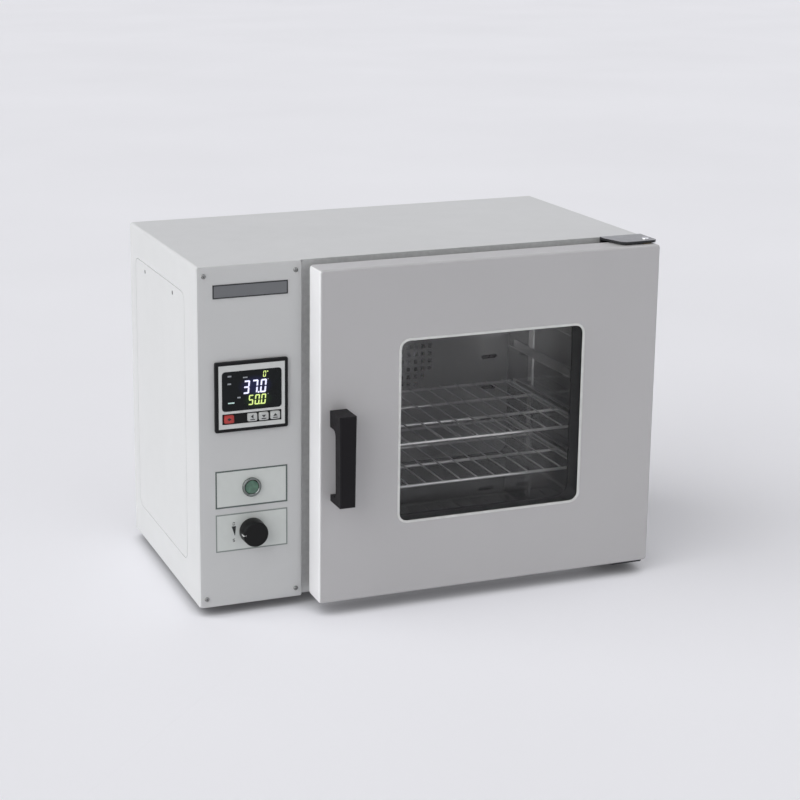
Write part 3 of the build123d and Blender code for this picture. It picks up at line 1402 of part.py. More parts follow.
def window_trim():
    """The pale edging round the window: a flat rim on the skin and a lip through it."""
    rim = window_opening(TRIM_WIDTH, door_front_y - TRIM_PROUD, door_front_y)
    rim = chamfer(rim.faces().sort_by(Axis.Y)[0].edges(), TRIM_PROUD / 2)
    lip = window_opening(0, door_front_y, outer_glass_y)
    return rim + lip - window_opening(-TRIM_LIP, door_front_y - 2, outer_glass_y + 1)


def door_gasket():
    """The silicone seal round the plug, which meets the chamber face when the door is shut."""
    back = face_y - GASKET_CLEARANCE
    inside = GASKET_FIT - PLUG_MARGIN
    width = chamber_width + 2 * (inside + GASKET_WIDTH)
    height = chamber_height + 2 * (inside + GASKET_WIDTH)
    outer = panel(chamber_x, chamber_z, width, height, GASKET_CORNER, door_back_y, back)
    return outer - chamber_outline(inside, door_back_y - 1, back + 1)


def handle_x():
    """Middle of the handle, measured across the door."""
    return door_left + HANDLE_LEFT + HANDLE_WIDTH / 2


def handle_screw_heights():
    """Heights of the screws that hold the handle's two legs."""
    return (handle_top_z - HANDLE_UPPER_LEG / 2, handle_top_z - HANDLE_LENGTH + HANDLE_LOWER_LEG / 2)


def handle():
    """The moulded bracket handle: a deep upper leg, a straight grip and a short lower leg."""
    top = handle_top_z
    bottom = handle_top_z - HANDLE_LENGTH
    front = door_front_y - HANDLE_STAND_OFF
    grip_back = front + HANDLE_BAR
    outline = Polyline(
        (door_front_y, top),
        (front, top),
        (front, bottom),
        (door_front_y, bottom),
        (door_front_y, bottom + HANDLE_LOWER_LEG),
        (grip_back, bottom + HANDLE_LOWER_LEG),
        (grip_back, top - HANDLE_UPPER_LEG),
        (door_front_y, top - HANDLE_UPPER_LEG),
        close=True,
    )
    left = handle_x() - HANDLE_WIDTH / 2
    side = Plane((left, 0, 0), x_dir=(0, 1, 0), z_dir=(1, 0, 0)) * make_face(outline)
    grip = extrude(side, amount=HANDLE_WIDTH)
    upright = grip.edges().filter_by(Axis.X)
    inner = [edge for edge in upright if abs(edge.center().Y - grip_back) < 0.1]
    grip = fillet(inner, HANDLE_INNER_RADIUS)
    # The grip narrows a little towards its lower end
    taper = (HANDLE_WIDTH - HANDLE_FOOT_WIDTH) / 2
    for turn in (-1, 1):
        edge_x = handle_x() + turn * HANDLE_WIDTH / 2
        wedge = Polyline(
            (edge_x, top),
            (edge_x - turn * taper, bottom),
            (edge_x, bottom),
            close=True,
        )
        cut = Plane((0, door_front_y + 1, 0), x_dir=(1, 0, 0), z_dir=(0, -1, 0)) * make_face(wedge)
        grip -= extrude(cut, amount=HANDLE_STAND_OFF + 2)
    face = grip.faces().sort_by(Axis.Y)[0]
    grip = fillet(face.edges(), HANDLE_EDGE)
    bore = (door_front_y - HANDLE_SCREW_REACH, door_front_y + 1)
    for z in handle_screw_heights():
        grip -= rod_y(handle_x(), z, HANDLE_SCREW_RADIUS, *bore, SMALL_SIDES)
    return grip


def handle_screws():
    """Machine screws from inside the door skin into the handle's legs."""
    screws = []
    for z in handle_screw_heights():
        start = door_front_y - HANDLE_SCREW_REACH
        shank = rod_y(handle_x(), z, HANDLE_SCREW_RADIUS, start, outer_glass_y, SMALL_SIDES)
        head = rod_y(handle_x(), z, SCREW_HEAD_RADIUS, outer_glass_y, outer_glass_y + SCREW_HEAD, SMALL_SIDES)
        screws.append(shank + head)
    return screws


def magnetic_catch():
    """The magnet block on the chamber face at the door's free edge."""
    body = block(
        (catch_x - CATCH_WIDTH / 2, catch_x + CATCH_WIDTH / 2),
        (face_y - CATCH_DEPTH, face_y),
        (door_z - CATCH_HEIGHT / 2, door_z + CATCH_HEIGHT / 2),
    )
    return chamfer(body.faces().sort_by(Axis.Y)[0].edges(), CATCH_EDGE)


def catch_plate():
    """The steel keeper on the door's back, in line with the magnet."""
    half_width = CATCH_WIDTH / 2 + KEEPER_MARGIN
    half_height = CATCH_HEIGHT / 2 + KEEPER_OVERHANG
    return block(
        (catch_x - half_width, catch_x + half_width),
        (door_back_y, face_y - CATCH_DEPTH - CATCH_GAP),
        (door_z - half_height, door_z + half_height),
    )


# ---------------------------------------------------------------- write the pieces
save("outer_shell", outer_shell())
save("side_cover", side_cover())
save("side_cover_screws", *side_cover_screws())
save("base_pan", base_pan())
save("back_panel", back_panel())
save("partition", partition())
save("front_frame", front_frame())
save("feet", *feet())

save("control_panel", control_panel())
save("control_panel_screws", *control_panel_screws())
save("nameplate", label(nameplate_z, NAMEPLATE_WIDTH, NAMEPLATE_HEIGHT, NAMEPLATE_THICKNESS))
save("controller_housing", controller_housing())
save("controller_fascia", controller_fascia())
save("display_window", display_outline(0, -BEZEL_PROUD - DISPLAY_PROUD, fascia_y))
for key_name, key_offset in KEY_OFFSETS.items():
    save(key_name, key(key_offset))
save("power_label", power_label())
save("power_switch_housing", power_switch_housing())
save("power_button", power_button())
save("air_label", air_label())
save("air_knob", air_knob())
save("damper", damper())
save("air_duct", air_duct())

save("heat_sink", heat_sink())
save("relay", relay())
save("power_inlet", power_inlet())

save("chamber_liner", chamber_liner())
save("chamber_back", chamber_back())
save("insulation", insulation())
save("duct_plate", duct_plate())
save("left_shelf_rack", shelf_rack(-1))
save("right_shelf_rack", shelf_rack(1))
save("lower_shelf", wire_shelf(LOWER_SHELF_LEVEL))
save("upper_shelf", wire_shelf(UPPER_SHELF_LEVEL))

save("heater_element", heater_element())
save("fan_wheel", fan_wheel())
save("fan_motor", fan_motor())
save("motor_cover", motor_cover())
save("motor_cover_screws", *motor_cover_screws())
save("exhaust_pipe", exhaust_pipe())
save("temperature_probe", temperature_probe())

save("upper_hinge_plate", hinge_plate(True))
save("lower_hinge_plate", hinge_plate(False))
save("hinge_pins", *hinge_pins())
save("hinge_screws", *hinge_screws())
save("magnetic_catch", magnetic_catch())

save("door_shell", door_shell())
save("door_inner_panel", door_inner_panel())
save("door_insulation", door_insulation())
save("outer_glass", pane(outer_glass_y, GLASS_OVERLAP))
save("inner_glass", pane(inner_glass_y, SLEEVE_MARGIN + GLASS_OVERLAP))
save("window_sleeve", window_sleeve())
save("window_trim", window_trim())
save("door_gasket", door_gasket())
save("handle", handle())
save("handle_screws", *handle_screws())
save("hinge_bushes", *hinge_bushes())
save("catch_plate", catch_plate())
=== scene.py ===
"""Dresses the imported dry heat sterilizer: finishes, round wires, screws, display and prints."""

import json
import math

import bmesh
import bpy
from bpy.props import FloatProperty, FloatVectorProperty, PointerProperty
from mathutils import Euler, Matrix, Vector

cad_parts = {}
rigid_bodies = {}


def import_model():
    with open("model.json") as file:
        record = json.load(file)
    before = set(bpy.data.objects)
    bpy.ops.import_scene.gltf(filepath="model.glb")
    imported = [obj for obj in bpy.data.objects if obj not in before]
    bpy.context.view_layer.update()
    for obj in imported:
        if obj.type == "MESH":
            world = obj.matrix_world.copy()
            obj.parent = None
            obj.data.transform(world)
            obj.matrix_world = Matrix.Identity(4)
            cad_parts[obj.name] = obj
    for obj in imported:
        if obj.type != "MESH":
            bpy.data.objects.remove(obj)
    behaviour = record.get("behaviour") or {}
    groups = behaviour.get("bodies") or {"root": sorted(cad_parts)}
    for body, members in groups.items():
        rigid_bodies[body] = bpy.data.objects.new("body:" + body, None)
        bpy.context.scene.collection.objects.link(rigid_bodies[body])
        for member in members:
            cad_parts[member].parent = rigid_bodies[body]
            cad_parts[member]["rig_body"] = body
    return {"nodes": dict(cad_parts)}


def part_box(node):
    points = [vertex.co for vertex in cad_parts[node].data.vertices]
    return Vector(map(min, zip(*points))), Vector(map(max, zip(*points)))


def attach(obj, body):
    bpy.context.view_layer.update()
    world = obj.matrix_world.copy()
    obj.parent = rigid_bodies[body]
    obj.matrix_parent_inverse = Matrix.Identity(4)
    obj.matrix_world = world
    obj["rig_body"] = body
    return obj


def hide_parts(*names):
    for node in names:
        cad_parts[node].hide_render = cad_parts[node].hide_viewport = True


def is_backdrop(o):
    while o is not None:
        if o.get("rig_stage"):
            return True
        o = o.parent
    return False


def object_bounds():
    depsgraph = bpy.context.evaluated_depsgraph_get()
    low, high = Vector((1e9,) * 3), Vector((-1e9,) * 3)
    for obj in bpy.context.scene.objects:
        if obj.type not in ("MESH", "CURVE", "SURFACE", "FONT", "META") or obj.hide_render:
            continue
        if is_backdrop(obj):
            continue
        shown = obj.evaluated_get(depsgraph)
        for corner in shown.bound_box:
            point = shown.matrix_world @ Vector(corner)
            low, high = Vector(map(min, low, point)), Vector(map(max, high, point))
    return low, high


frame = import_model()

bl_info = {
    "name": "Dry heat sterilizer dress",
    "version": (1, 0, 0),
    "blender": (4, 5, 0),
    "location": "3D View > Sidebar > Sterilizer",
    "description": "Finishes and fine detail for a bench-top dry heat sterilizer",
    "category": "Object",
}

CAD_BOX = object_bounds()
MM = 0.001
FORWARD = Vector((0, -1, 0))
REARWARD = Vector((0, 1, 0))
LEFTWARD = Vector((-1, 0, 0))
UP = Vector((0, 0, 1))
DOWN = Vector((0, 0, -1))
BLACK = (0, 0, 0, 1)
# How a brushed metal's streaks lie: its pattern is squeezed along the two other axes
ALONG_X = (1, 30, 30)
ALONG_Y = (30, 1, 30)
ALONG_Z = (30, 30, 1)
# Vertices nearer than this, in metres, are one
MERGE = 1e-6


# -------- colours and nodes
def linear(hex_colour):
    """The linear colour that a shader takes, from an sRGB hex value."""
    parts = [int(hex_colour[i : i + 2], 16) / 255 for i in (1, 3, 5)]
    return [*((p / 12.92 if p <= 0.04045 else ((p + 0.055) / 1.055) ** 2.4) for p in parts), 1.0]


def toned(colour, share):
    """The same colour, lighter or darker by a share."""
    return [channel * share for channel in list(colour)[:3]] + [1.0]


def add(tree, kind, inputs=None, out=0, **settings):
    """Adds one node, sets its properties, sets or links its inputs by name or number, and gives
    one of its outputs, if it has any."""
    node = tree.nodes.new("ShaderNode" + kind)
    for name, value in settings.items():
        setattr(node, name, value)
    for name, value in (inputs or {}).items():
        socket = node.inputs[name]
        if isinstance(value, bpy.types.NodeSocket):
            tree.links.new(value, socket)
        else:
            socket.default_value = value
    return node.outputs[out] if node.outputs else None


def mixing(share, first, second):
    """A colour mix's inputs, by number, because their names repeat for each type of value."""
    return {0: share, 6: first, 7: second}


# A colour mix's output, by number for the same reason, and the type of value that it mixes
MIXED = {"out": 2, "data_type": "RGBA"}


def per_mm(size):
    """Texture scale, per metre, of a pattern whose features are this many millimetres."""
    return 1000 / size


def started(name, **even):
    """A new material: its even values on the shader, and what it reads its place from."""
    material = bpy.data.materials.new(name)
    material.use_nodes = True
    tree = material.node_tree
    shader = tree.nodes["Principled BSDF"]
    for socket, value in even.items():
        shader.inputs[socket.replace("_", " ")].default_value = value
    return material, tree, shader, add(tree, "TexCoord", out="Object")


def cloudy(tree, place, size, low=0, high=1, detail=2):
    """Soft patches of a size in millimetres that range between two values."""
    noise = {"Vector": place, "Scale": per_mm(size), "Detail": detail}
    spread = {"Value": add(tree, "TexNoise", noise, "Fac"), "From Min": 0.3, "From Max": 0.7}
    return add(tree, "MapRange", {**spread, "To Min": low, "To Max": high})


def surfaced(tree, shader, tone, rough, relief=None, depth=0):
    """Links a colour, given as a share and the two colours that it lies between, a roughness, and
    a relief that is this many millimetres deep."""
    tree.links.new(add(tree, "Mix", mixing(*tone), **MIXED), shader.inputs["Base Color"])
    tree.links.new(rough, shader.inputs["Roughness"])
    if depth:
        tilt = add(tree, "Bump", {"Height": relief, "Distance": depth * MM})
        tree.links.new(tilt, shader.inputs["Normal"])


def patchy(name, colour, tones, rough, relief, **even):
    """A material with soft patches in its tone, its roughness and its relief. Each is given as
    the patches' size in millimetres, then two values, or a depth in millimetres for the relief,
    then a detail where it isn't the usual one."""
    material, tree, shader, place = started(name, **even)
    size, dark, light, *detail = tones
    tone = cloudy(tree, place, size, 0, 1, *detail), toned(colour, dark), toned(colour, light)
    size, depth, *detail = relief
    height = cloudy(tree, place, size, 0, 1, *detail)
    surfaced(tree, shader, tone, cloudy(tree, place, *rough), height, depth)
    return material


# -------- finishes
def powder_coat(name, colour, dull=0.4, peel=0.012, built_up=None):
    """Baked polyester powder on sheet steel: a satin skin with faint orange peel about 2 mm wide.
    With a lit-side colour, faces that point left take it: painted light from the left."""
    material, tree, shader, place = started(name, IOR=1.5)
    tone = cloudy(tree, place, 160), toned(colour, 0.975), toned(colour, 1)
    if built_up:
        field = add(tree, "Mix", mixing(*tone), **MIXED)
        # Painted light: faces that point left turn to the lit-side colour, as if lit from the
        # softbox side
        across = add(tree, "SeparateXYZ", {0: add(tree, "TexCoord", out="Normal")}, "X")
        edge = {"Value": across, "From Min": -0.35, "From Max": -0.85}
        tone = add(tree, "MapRange", edge), field, built_up
    rough = cloudy(tree, place, 30, dull - 0.03, dull + 0.04)
    surfaced(tree, shader, tone, rough, cloudy(tree, place, 2.2, detail=1), peel)
    return material


def mirror_stainless(name, colour, polish):
    """Bright-annealed stainless sheet: near mirror, with the slow waves of folded thin metal."""
    rough = 90, polish * 0.6, polish * 1.4, 1
    return patchy(name, colour, (70, 0.93, 1), rough, (60, 0.05, 1), Metallic=1)


def brushed_metal(name, colour, dull, lay=ALONG_X):
    """Metal rubbed one way: fine streaks along its lay, drawn 0.5 mm wide so that they show."""
    material, tree, shader, place = started(name, Metallic=1)
    stretched = add(tree, "Mapping", {"Vector": place, "Scale": lay})
    streaks = cloudy(tree, stretched, 15, detail=3)
    rough = cloudy(tree, stretched, 15, dull - 0.05, dull + 0.07, 3)
    tone = streaks, toned(colour, 0.88), toned(colour, 1)
    surfaced(tree, shader, tone, rough, streaks, 0.004)
    return material


def plated_metal(name, colour, dull, metal=1):
    """Drawn or turned metal with a thin plating: even, bright, and a little cloudy close to."""
    rough = 4, dull * 0.8, dull * 1.3, 3
    return patchy(name, colour, (6, 0.9, 1), rough, (0.8, 0.003, 1), Metallic=metal)


def galvanised(name, colour):
    """Hot-dip zinc on steel sheet: grey spangle about 9 mm across, each flake at its own shade."""
    material, tree, shader, place = started(name, Metallic=1)
    flakes = add(tree, "TexVoronoi", {"Vector": place, "Scale": per_mm(9)}, "Color")
    spangle = add(tree, "SeparateColor", {"Color": flakes}, "Red")
    rough = add(tree, "MapRange", {"Value": spangle, "To Min": 0.32, "To Max": 0.5})
    tone = spangle, toned(colour, 0.8), toned(colour, 1)
    surfaced(tree, shader, tone, rough, cloudy(tree, place, 1.2), 0.006)
    return material


def moulded(name, colour, dull, shine=0.5, grit=0.7, depth=0.012):
    """Injection-moulded plastic: an even colour and the fine sparked texture of its tool."""
    rough = 5, dull - 0.03, dull + 0.05, 3
    even = {"IOR": 1.5, "Specular_IOR_Level": shine}
    return patchy(name, colour, (12, 0.92, 1.04), rough, (grit, depth), **even)


def printed_film(name, colour, dull=0.45):
    """Screen-printed polyester film: flat ink with a very light stipple."""
    rough = 3, dull - 0.04, dull + 0.05
    return patchy(name, colour, (9, 0.965, 1, 3), rough, (0.6, 0.004), IOR=1.5)


def silver_fascia(name, colour):
    """Silver-pigmented lacquer on the controller's face: fine flakes that lift the grey."""
    material, tree, shader, place = started(name, Metallic=0.25, IOR=1.5)
    flake = cloudy(tree, place, 0.5, detail=1)
    tone = flake, toned(colour, 0.93), toned(colour, 1.05)
    surfaced(tree, shader, tone, cloudy(tree, place, 2, 0.34, 0.44), flake, 0.003)
    return material


def glow_patch(tree, place, centre, half):
    """1 at the middle of an upright oval and 0 at its edge, for light spilt round the digits."""
    shifted = add(tree, "VectorMath", {0: place, 1: centre}, operation="SUBTRACT")
    scale = [1 / half[0], 0, 1 / half[1]]
    scaled = add(tree, "VectorMath", {0: shifted, 1: scale}, operation="MULTIPLY")
    reach = add(tree, "VectorMath", {0: scaled}, "Value", operation="LENGTH")
    fall = {"Value": reach, "From Min": 0.35, "From Max": 1, "To Min": 1, "To Max": 0}
    return add(tree, "MapRange", fall, interpolation_type="SMOOTHSTEP")


# Light spilt on the display: middle from its lower left corner, half size, both in mm, and colour
GLOWS = (((42, 29), (24, 15), "#15163A"), ((45.5, 11.5), (20, 11.5), "#142A0C"))


def smoked_acrylic(name, colour):
    """The display's smoked window: deep grey, with the digits' light spilt softly round them."""
    even = {"IOR": 1.49, "Specular_IOR_Level": 0.2, "Emission_Strength": 1}
    material, tree, shader, place = started(name, **even)
    tone = cloudy(tree, place, 20), toned(colour, 0.8), toned(colour, 1.1)
    surfaced(tree, shader, tone, cloudy(tree, place, 8, 0.14, 0.2))
    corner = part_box("display_window")[0]
    spilt = []
    for (across, rise), half, glow in GLOWS:
        centre = corner + Vector((across, 0, rise)) * MM
        patch = glow_patch(tree, place, centre, [size * MM for size in half])
        spilt.append(add(tree, "Mix", mixing(patch, BLACK, linear(glow)), **MIXED))
    both = add(tree, "Mix", mixing(1, *spilt), **MIXED, blend_type="ADD")
    tree.links.new(both, shader.inputs["Emission Color"])
    return material


def lit_segment(name, colour, strength):
    """A lit display segment: it gives its own light, a little uneven from end to end."""
    even = {"Roughness": 0.4, "Emission_Strength": strength, "Base_Color": toned(colour, 0.5)}
    material, tree, shader, place = started(name, **even)
    tone = mixing(cloudy(tree, place, 3), toned(colour, 0.82), toned(colour, 1))
    tree.links.new(add(tree, "Mix", tone, **MIXED), shader.inputs["Emission Color"])
    return material


def green_lens(name, colour):
    """Translucent green polycarbonate: clear gloss outside, cloudy and deeper in its middle."""
    gloss = {"IOR": 1.58, "Coat_Weight": 0.8, "Coat_Roughness": 0.04}
    inside = {"Subsurface_Weight": 0.25, "Subsurface_Scale": 3 * MM}
    return patchy(name, colour, (5, 0.7, 1.15), (3, 0.16, 0.26), (1.4, 0.006), **gloss, **inside)


def clear_glass(name, colour):
    """Coated float glass: colourless and faintly smeared; its low index stands for the coating
    that keeps a dark chamber dark behind two panes."""
    even = {"IOR": 1.25, "Transmission_Weight": 1, "Base_Color": toned(colour, 1)}
    material, tree, shader, place = started(name, **even)
    tree.links.new(cloudy(tree, place, 45, 0, 0.012, 4), shader.inputs["Roughness"])
    shadow = add(tree, "LightPath", out="Is Shadow Ray")
    through = add(tree, "BsdfTransparent", {"Color": toned(colour, 0.92)})
    mixed = add(tree, "MixShader", {0: shadow, 1: shader.outputs[0], 2: through})
    tree.links.new(mixed, tree.nodes["Material Output"].inputs["Surface"])
    return material


def enamelled_plate(name, colour, edge):
    """Satin enamel on thick plate: grey where it faces up, near black painted shade elsewhere."""
    material, tree, shader, place = started(name, IOR=1.5, Specular_IOR_Level=0.35)
    # Painted shade: the near black colour, passed in as edge, covers the faces that do not point up
    level = add(tree, "SeparateXYZ", {0: add(tree, "NewGeometry", out="Normal")}, "Z")
    share = add(tree, "MapRange", {"Value": level, "From Min": 0.3, "From Max": 0.8})
    rough = cloudy(tree, place, 8, 0.3, 0.4)
    surfaced(tree, shader, (share, edge, colour), rough, cloudy(tree, place, 1.6), 0.01)
    return material


def soft_rubber(name, colour, dull):
    """Cured rubber or silicone: matt, slightly bloomed, with a fine skin."""
    rough = 6, dull - 0.06, dull + 0.08
    return patchy(name, colour, (8, 0.85, 1.1, 3), rough, (0.9, 0.02), IOR=1.45)


def mineral_wool(name, colour):
    """Pressed mineral wool: matt tangled fibres, drawn 1.5 mm wide so that they show."""
    material, tree, shader, place = started(name, IOR=1.4)
    fibres = {"Vector": place, "Scale": per_mm(1.5), "Detail": 6, "Distortion": 3}
    fibres = add(tree, "TexNoise", fibres, "Fac")
    tone = fibres, toned(colour, 0.6), toned(colour, 1.1)
    surfaced(tree, shader, tone, cloudy(tree, place, 10, 0.85, 0.98), fibres, 0.8)
    return material


def heat_tinted(name, colour, tint):
    """A heater's alloy sheath: dull metal with the straw and blue bands of use."""
    material, tree, shader, place = started(name, Metallic=1)
    tone = cloudy(tree, place, 35, detail=3), colour, tint
    rough = cloudy(tree, place, 5, 0.38, 0.52)
    surfaced(tree, shader, tone, rough, cloudy(tree, place, 0.8), 0.01)
    return material


# Colours that the sidebar offers: label, description and usual value
COLOURS = {
    "cabinet": ("Cabinet", "Powder coat of the cabinet", "#D0D1D1"),
    "front": ("Control panel", "Powder coat of the control panel", "#CBCCCC"),
    "door": ("Door", "Powder coat of the door", "#BEBDBE"),
    "handle": ("Handle", "Moulded handle", "#121013"),
    "knob": ("Knob", "Moulded air knob", "#0E0F0F"),
    "lens": ("Lens", "Power button's lens", "#3D6B54"),
    "upper_digits": ("Upper reading", "Colour of the measured value", "#E4E4FF"),
    "lower_digits": ("Lower reading", "Colour of the set value", "#D2E58A"),
}

# Each finish, by its slot in the record or a name of its own: what makes it, its real name, its
# colour as a hex value or a name in COLOURS, and what else its maker takes, in its order
FINISHES = {
    "cabinet_paint": (powder_coat, "powder coated steel cabinet", "cabinet"),
    "panel_paint": (powder_coat, "powder coated steel control panel", "front"),
    # The door's last colour is painted light on its left-facing faces
    "door_paint": (powder_coat, "powder coated steel door", "door", 0.4, 0.012, "#EBEBEC"),
    # Its grey is partly the steel's own and partly painted shade, darkened for the dim chamber
    "bright_stainless": (mirror_stainless, "bright annealed stainless", "#8C8C8B", 0.03),
    "frame_stainless": (plated_metal, "bead-blasted stainless", "#DDDEDD", 0.45, 0.4),
    "duct_stainless": (plated_metal, "dull-polished stainless", "#B0B0AE", 0.2, 0.6),
    # The sleeve's dark grey is painted shade, for the dim light deep in the door
    "sleeve_painted_shade": (brushed_metal, "heat-darkened stainless sleeve", "#4A4B4B", 0.4),
    "rack_stainless": (plated_metal, "polished stainless strip", "#E4E4E2", 0.12),
    # Pickled wire scatters some of the light, so it shows pale along every direction
    "shelf_wire": (plated_metal, "pickled bright wire", "#DCDCDA", 0.2, 0.6),
    "galvanised_sheet": (galvanised, "galvanised sheet", "#AEB1B3"),
    # Their grey is partly the plating's own and partly a painted dark reflection of a dim room
    "screw_steel": (plated_metal, "nickel plated screws", "#8F908E", 0.16),
    "nameplate_plastic": (printed_film, "engraving laminate", "#6F7174", 0.4),
    "bezel_plastic": (moulded, "black ABS bezel", "#101112", 0.36, 0.2),
    "fascia_silver": (silver_fascia, "silver lacquer fascia", "#D0D2D0"),
    "display_plastic": (smoked_acrylic, "smoked acrylic", "#0E1214"),
    "key_red": (moulded, "red silicone key", "#B23A36", 0.42),
    "key_dark": (moulded, "grey silicone key", "#C2C4C2", 0.42),
    "label_film": (printed_film, "polyester label film", "#D1D5D2"),
    # Its grey is partly the chrome's own and partly a painted dark reflection of a dim room
    "ring_chrome": (plated_metal, "chromed brass ring", "#787D7A", 0.1),
    "lens_green": (green_lens, "green polycarbonate lens", "lens"),
    "knob_black": (moulded, "black phenolic knob", "knob", 0.33, 0.2, 0.5, 0.006),
    "spindle_steel": (brushed_metal, "turned steel spindle", "#A9A9A7", 0.3, ALONG_Y),
    "sink_aluminium": (brushed_metal, "extruded aluminium", "#B9BBBD", 0.38, ALONG_Z),
    "relay_plastic": (moulded, "relay case thermoplastic", "#2B2D31", 0.4),
    "inlet_plastic": (moulded, "black nylon inlet", "#17181A", 0.42),
    "mineral_wool": (mineral_wool, "mineral wool", "#B4A77F"),
    "heater_sheath": (heat_tinted, "heater alloy sheath", "#7C766C", "#6B5A4C"),
    "motor_paint": (powder_coat, "enamelled motor case", "#3A3D40", 0.45, 0.02),
    "fan_aluminium": (brushed_metal, "pressed aluminium fan", "#B8BABC", 0.34, ALONG_Z),
    "vent_stainless": (brushed_metal, "drawn stainless vent", "#B7B7B5", 0.28, ALONG_Y),
    # The hinge plates' second colour is painted shade on their upright and under faces
    "hinge_steel": (enamelled_plate, "hinge plate enamel", "#8B8C8E", "#242527"),
    "pin_steel": (plated_metal, "polished steel pin", "#D9DADA", 0.15),
    "bush_brass": (plated_metal, "oil-darkened brass bush", "#6E5E3C", 0.4),
    "magnet_plastic": (moulded, "black acetal catch", "#2B2B2B", 0.4),
    "clear_glass": (clear_glass, "clear float glass", "#FCFCFC"),
    "trim_pale": (moulded, "pale edging strip", "#D9DAD8", 0.38),
    "gasket_silicone": (soft_rubber, "pale silicone gasket", "#A3A09A", 0.55),
    "handle_black": (moulded, "black glass-filled nylon", "handle", 0.46, 0.18, 0.9, 0.02),
    "foot_rubber": (soft_rubber, "black rubber foot", "#1C1C1C", 0.7),
    # Inks, lit segments and contacts, which have no slot of their own
    "dark_ink": (printed_film, "dark green-grey ink", "#56605C"),
    "pale_ink": (printed_film, "grey-green ink", "#868E8A"),
    "black_ink": (printed_film, "black ink", "#1D1F20"),
    "white_ink": (printed_film, "white filling", "#E6E7E6"),
    "upper_segment": (lit_segment, "lit segment upper reading", "upper_digits", 1.0),
    "lower_segment": (lit_segment, "lit segment lower reading", "lower_digits", 0.95),
    "marker_segment": (lit_segment, "lit status bar", "#B7D2CF", 0.75),
    "dim_segment": (lit_segment, "dim status mark", "#8D9197", 0.6),
    "pin_nickel": (plated_metal, "nickel plated contact", "#C9C6BD", 0.2),
}
ready = {}


def as_given(value):
    """A sidebar colour by its name, a hex value's linear colour, or another value as it is."""
    if value in COLOURS:
        return getattr(bpy.context.scene.sterilizer_colours, value)
    return linear(value) if isinstance(value, str) else value


def finish(slot):
    """The material of a finish, made the first time that it is asked for."""
    if slot not in ready:
        make, name, *values = FINISHES[slot]
        ready[slot] = make(name, *(as_given(value) for value in values))
    return ready[slot]


# -------- building pieces
def placed(name, mesh, body, slot, ink=None):
    """Puts a finished mesh on a body, with the finish of its slot or of its own ink."""
    mesh.materials.clear()
    mesh.materials.append(finish(ink or slot))
    piece = bpy.data.objects.new(name, mesh)
    bpy.context.scene.collection.objects.link(piece)
    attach(piece, body)
    return piece


def meshed(bm, name, merge=MERGE, outwards=True):
    """Closes a bmesh's seams, turns its faces outwards if asked, and makes it a mesh."""
    bmesh.ops.remove_doubles(bm, verts=bm.verts, dist=merge)
    if outwards:
        bmesh.ops.recalc_face_normals(bm, faces=bm.faces)
    mesh = bpy.data.meshes.new(name)
    bm.to_mesh(mesh)
    bm.free()
    return mesh


def piece_from(bm, name, body, slot, ink=None, crease=35):
    """Makes a bmesh a piece that shades smoothly up to a crease angle in degrees."""
    mesh = meshed(bm, name)
    mesh.shade_smooth()
    mesh.set_sharp_from_angle(angle=math.radians(crease))
    return placed(name, mesh, body, slot, ink)


def eased(node_name, crease=34, ink=None):
    """A merged copy of a CAD node whose rounds shade smoothly, standing for the node."""
    node = frame["nodes"][node_name]
    slot = node.data.materials[0].name
    bm = bmesh.new()
    bm.from_mesh(node.data)
    mesh = meshed(bm, node_name + "_eased", 2 * MERGE, outwards=False)
    for spare in ("custom_normal", "sharp_edge", "sharp_face"):
        layer = mesh.attributes.get(spare)
        if layer:
            mesh.attributes.remove(layer)
    mesh.shade_smooth()
    mesh.set_sharp_from_angle(angle=math.radians(crease))
    piece = placed(node_name + "_eased", mesh, node["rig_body"], slot, ink)
    weighted = piece.modifiers.new("Even shading", "WEIGHTED_NORMAL")
    weighted.keep_sharp = True
    weighted.weight = 90
    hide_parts(node_name)
    return piece


def spun(bm, foot, axis, profile, steps=40):
    """Turns a profile of (radius, distance along the axis) pairs, in millimetres, about an axis."""
    side = axis.orthogonal().normalized()
    points = [foot + axis * along * MM + side * radius * MM for radius, along in profile]
    corners = [bm.verts.new(point) for point in points]
    edges = [bm.edges.new(pair) for pair in zip(corners, corners[1:])]
    turn = {"cent": foot, "axis": axis, "angle": math.tau, "steps": steps, "use_merge": True}
    bmesh.ops.spin(bm, geom=corners + edges, **turn)


def edges_of(verts):
    """Every edge at some vertices, once each."""
    return list(dict.fromkeys(edge for vert in verts for edge in vert.link_edges))


def bevelled(bm, edges, offset, segments):
    """Rounds edges off by an offset in metres, in this many flats."""
    shape = {"offset_type": "OFFSET", "affect": "EDGES", "profile": 0.5, "material": -1}
    bmesh.ops.bevel(bm, geom=edges, offset=offset, segments=segments, **shape)


def bar(bm, low, high):
    """A box between two corners, in metres; gives its vertices."""
    size = [b - a for a, b in zip(low, high)]
    centre = Vector([(a + b) / 2 for a, b in zip(low, high)])
    shape = Matrix.Translation(centre) @ Matrix.Diagonal((*size, 1))
    return bmesh.ops.create_cube(bm, size=1.0, matrix=shape)["verts"]


def rounded_plate(bm, low, high, corner, segments=6):
    """A plate facing the front, whose upright corners are rounded by millimetres."""
    edges = edges_of(bar(bm, low, high))
    half = (high[1] - low[1]) / 2
    deep = [edge for edge in edges if abs((edge.verts[0].co - edge.verts[1].co).y) > half]
    bevelled(bm, deep, corner * MM, segments)


def ruled_border(bm, low, high, line, thickness=0.1):
    """A printed rectangle line of a width in millimetres, along the edges of a plate's front.
    A hairline between its four bars keeps each of them a closed box."""
    front, back = low.y - thickness * MM, low.y
    width, hair = line * MM, 0.01 * MM
    for bottom in (low.z, high.z - width):
        bar(bm, (low.x, front, bottom), (high.x, back, bottom + width))
    for left in (low.x, high.x - width):
        foot, top = low.z + width + hair, high.z - width - hair
        bar(bm, (left, front, foot), (left + width, back, top))


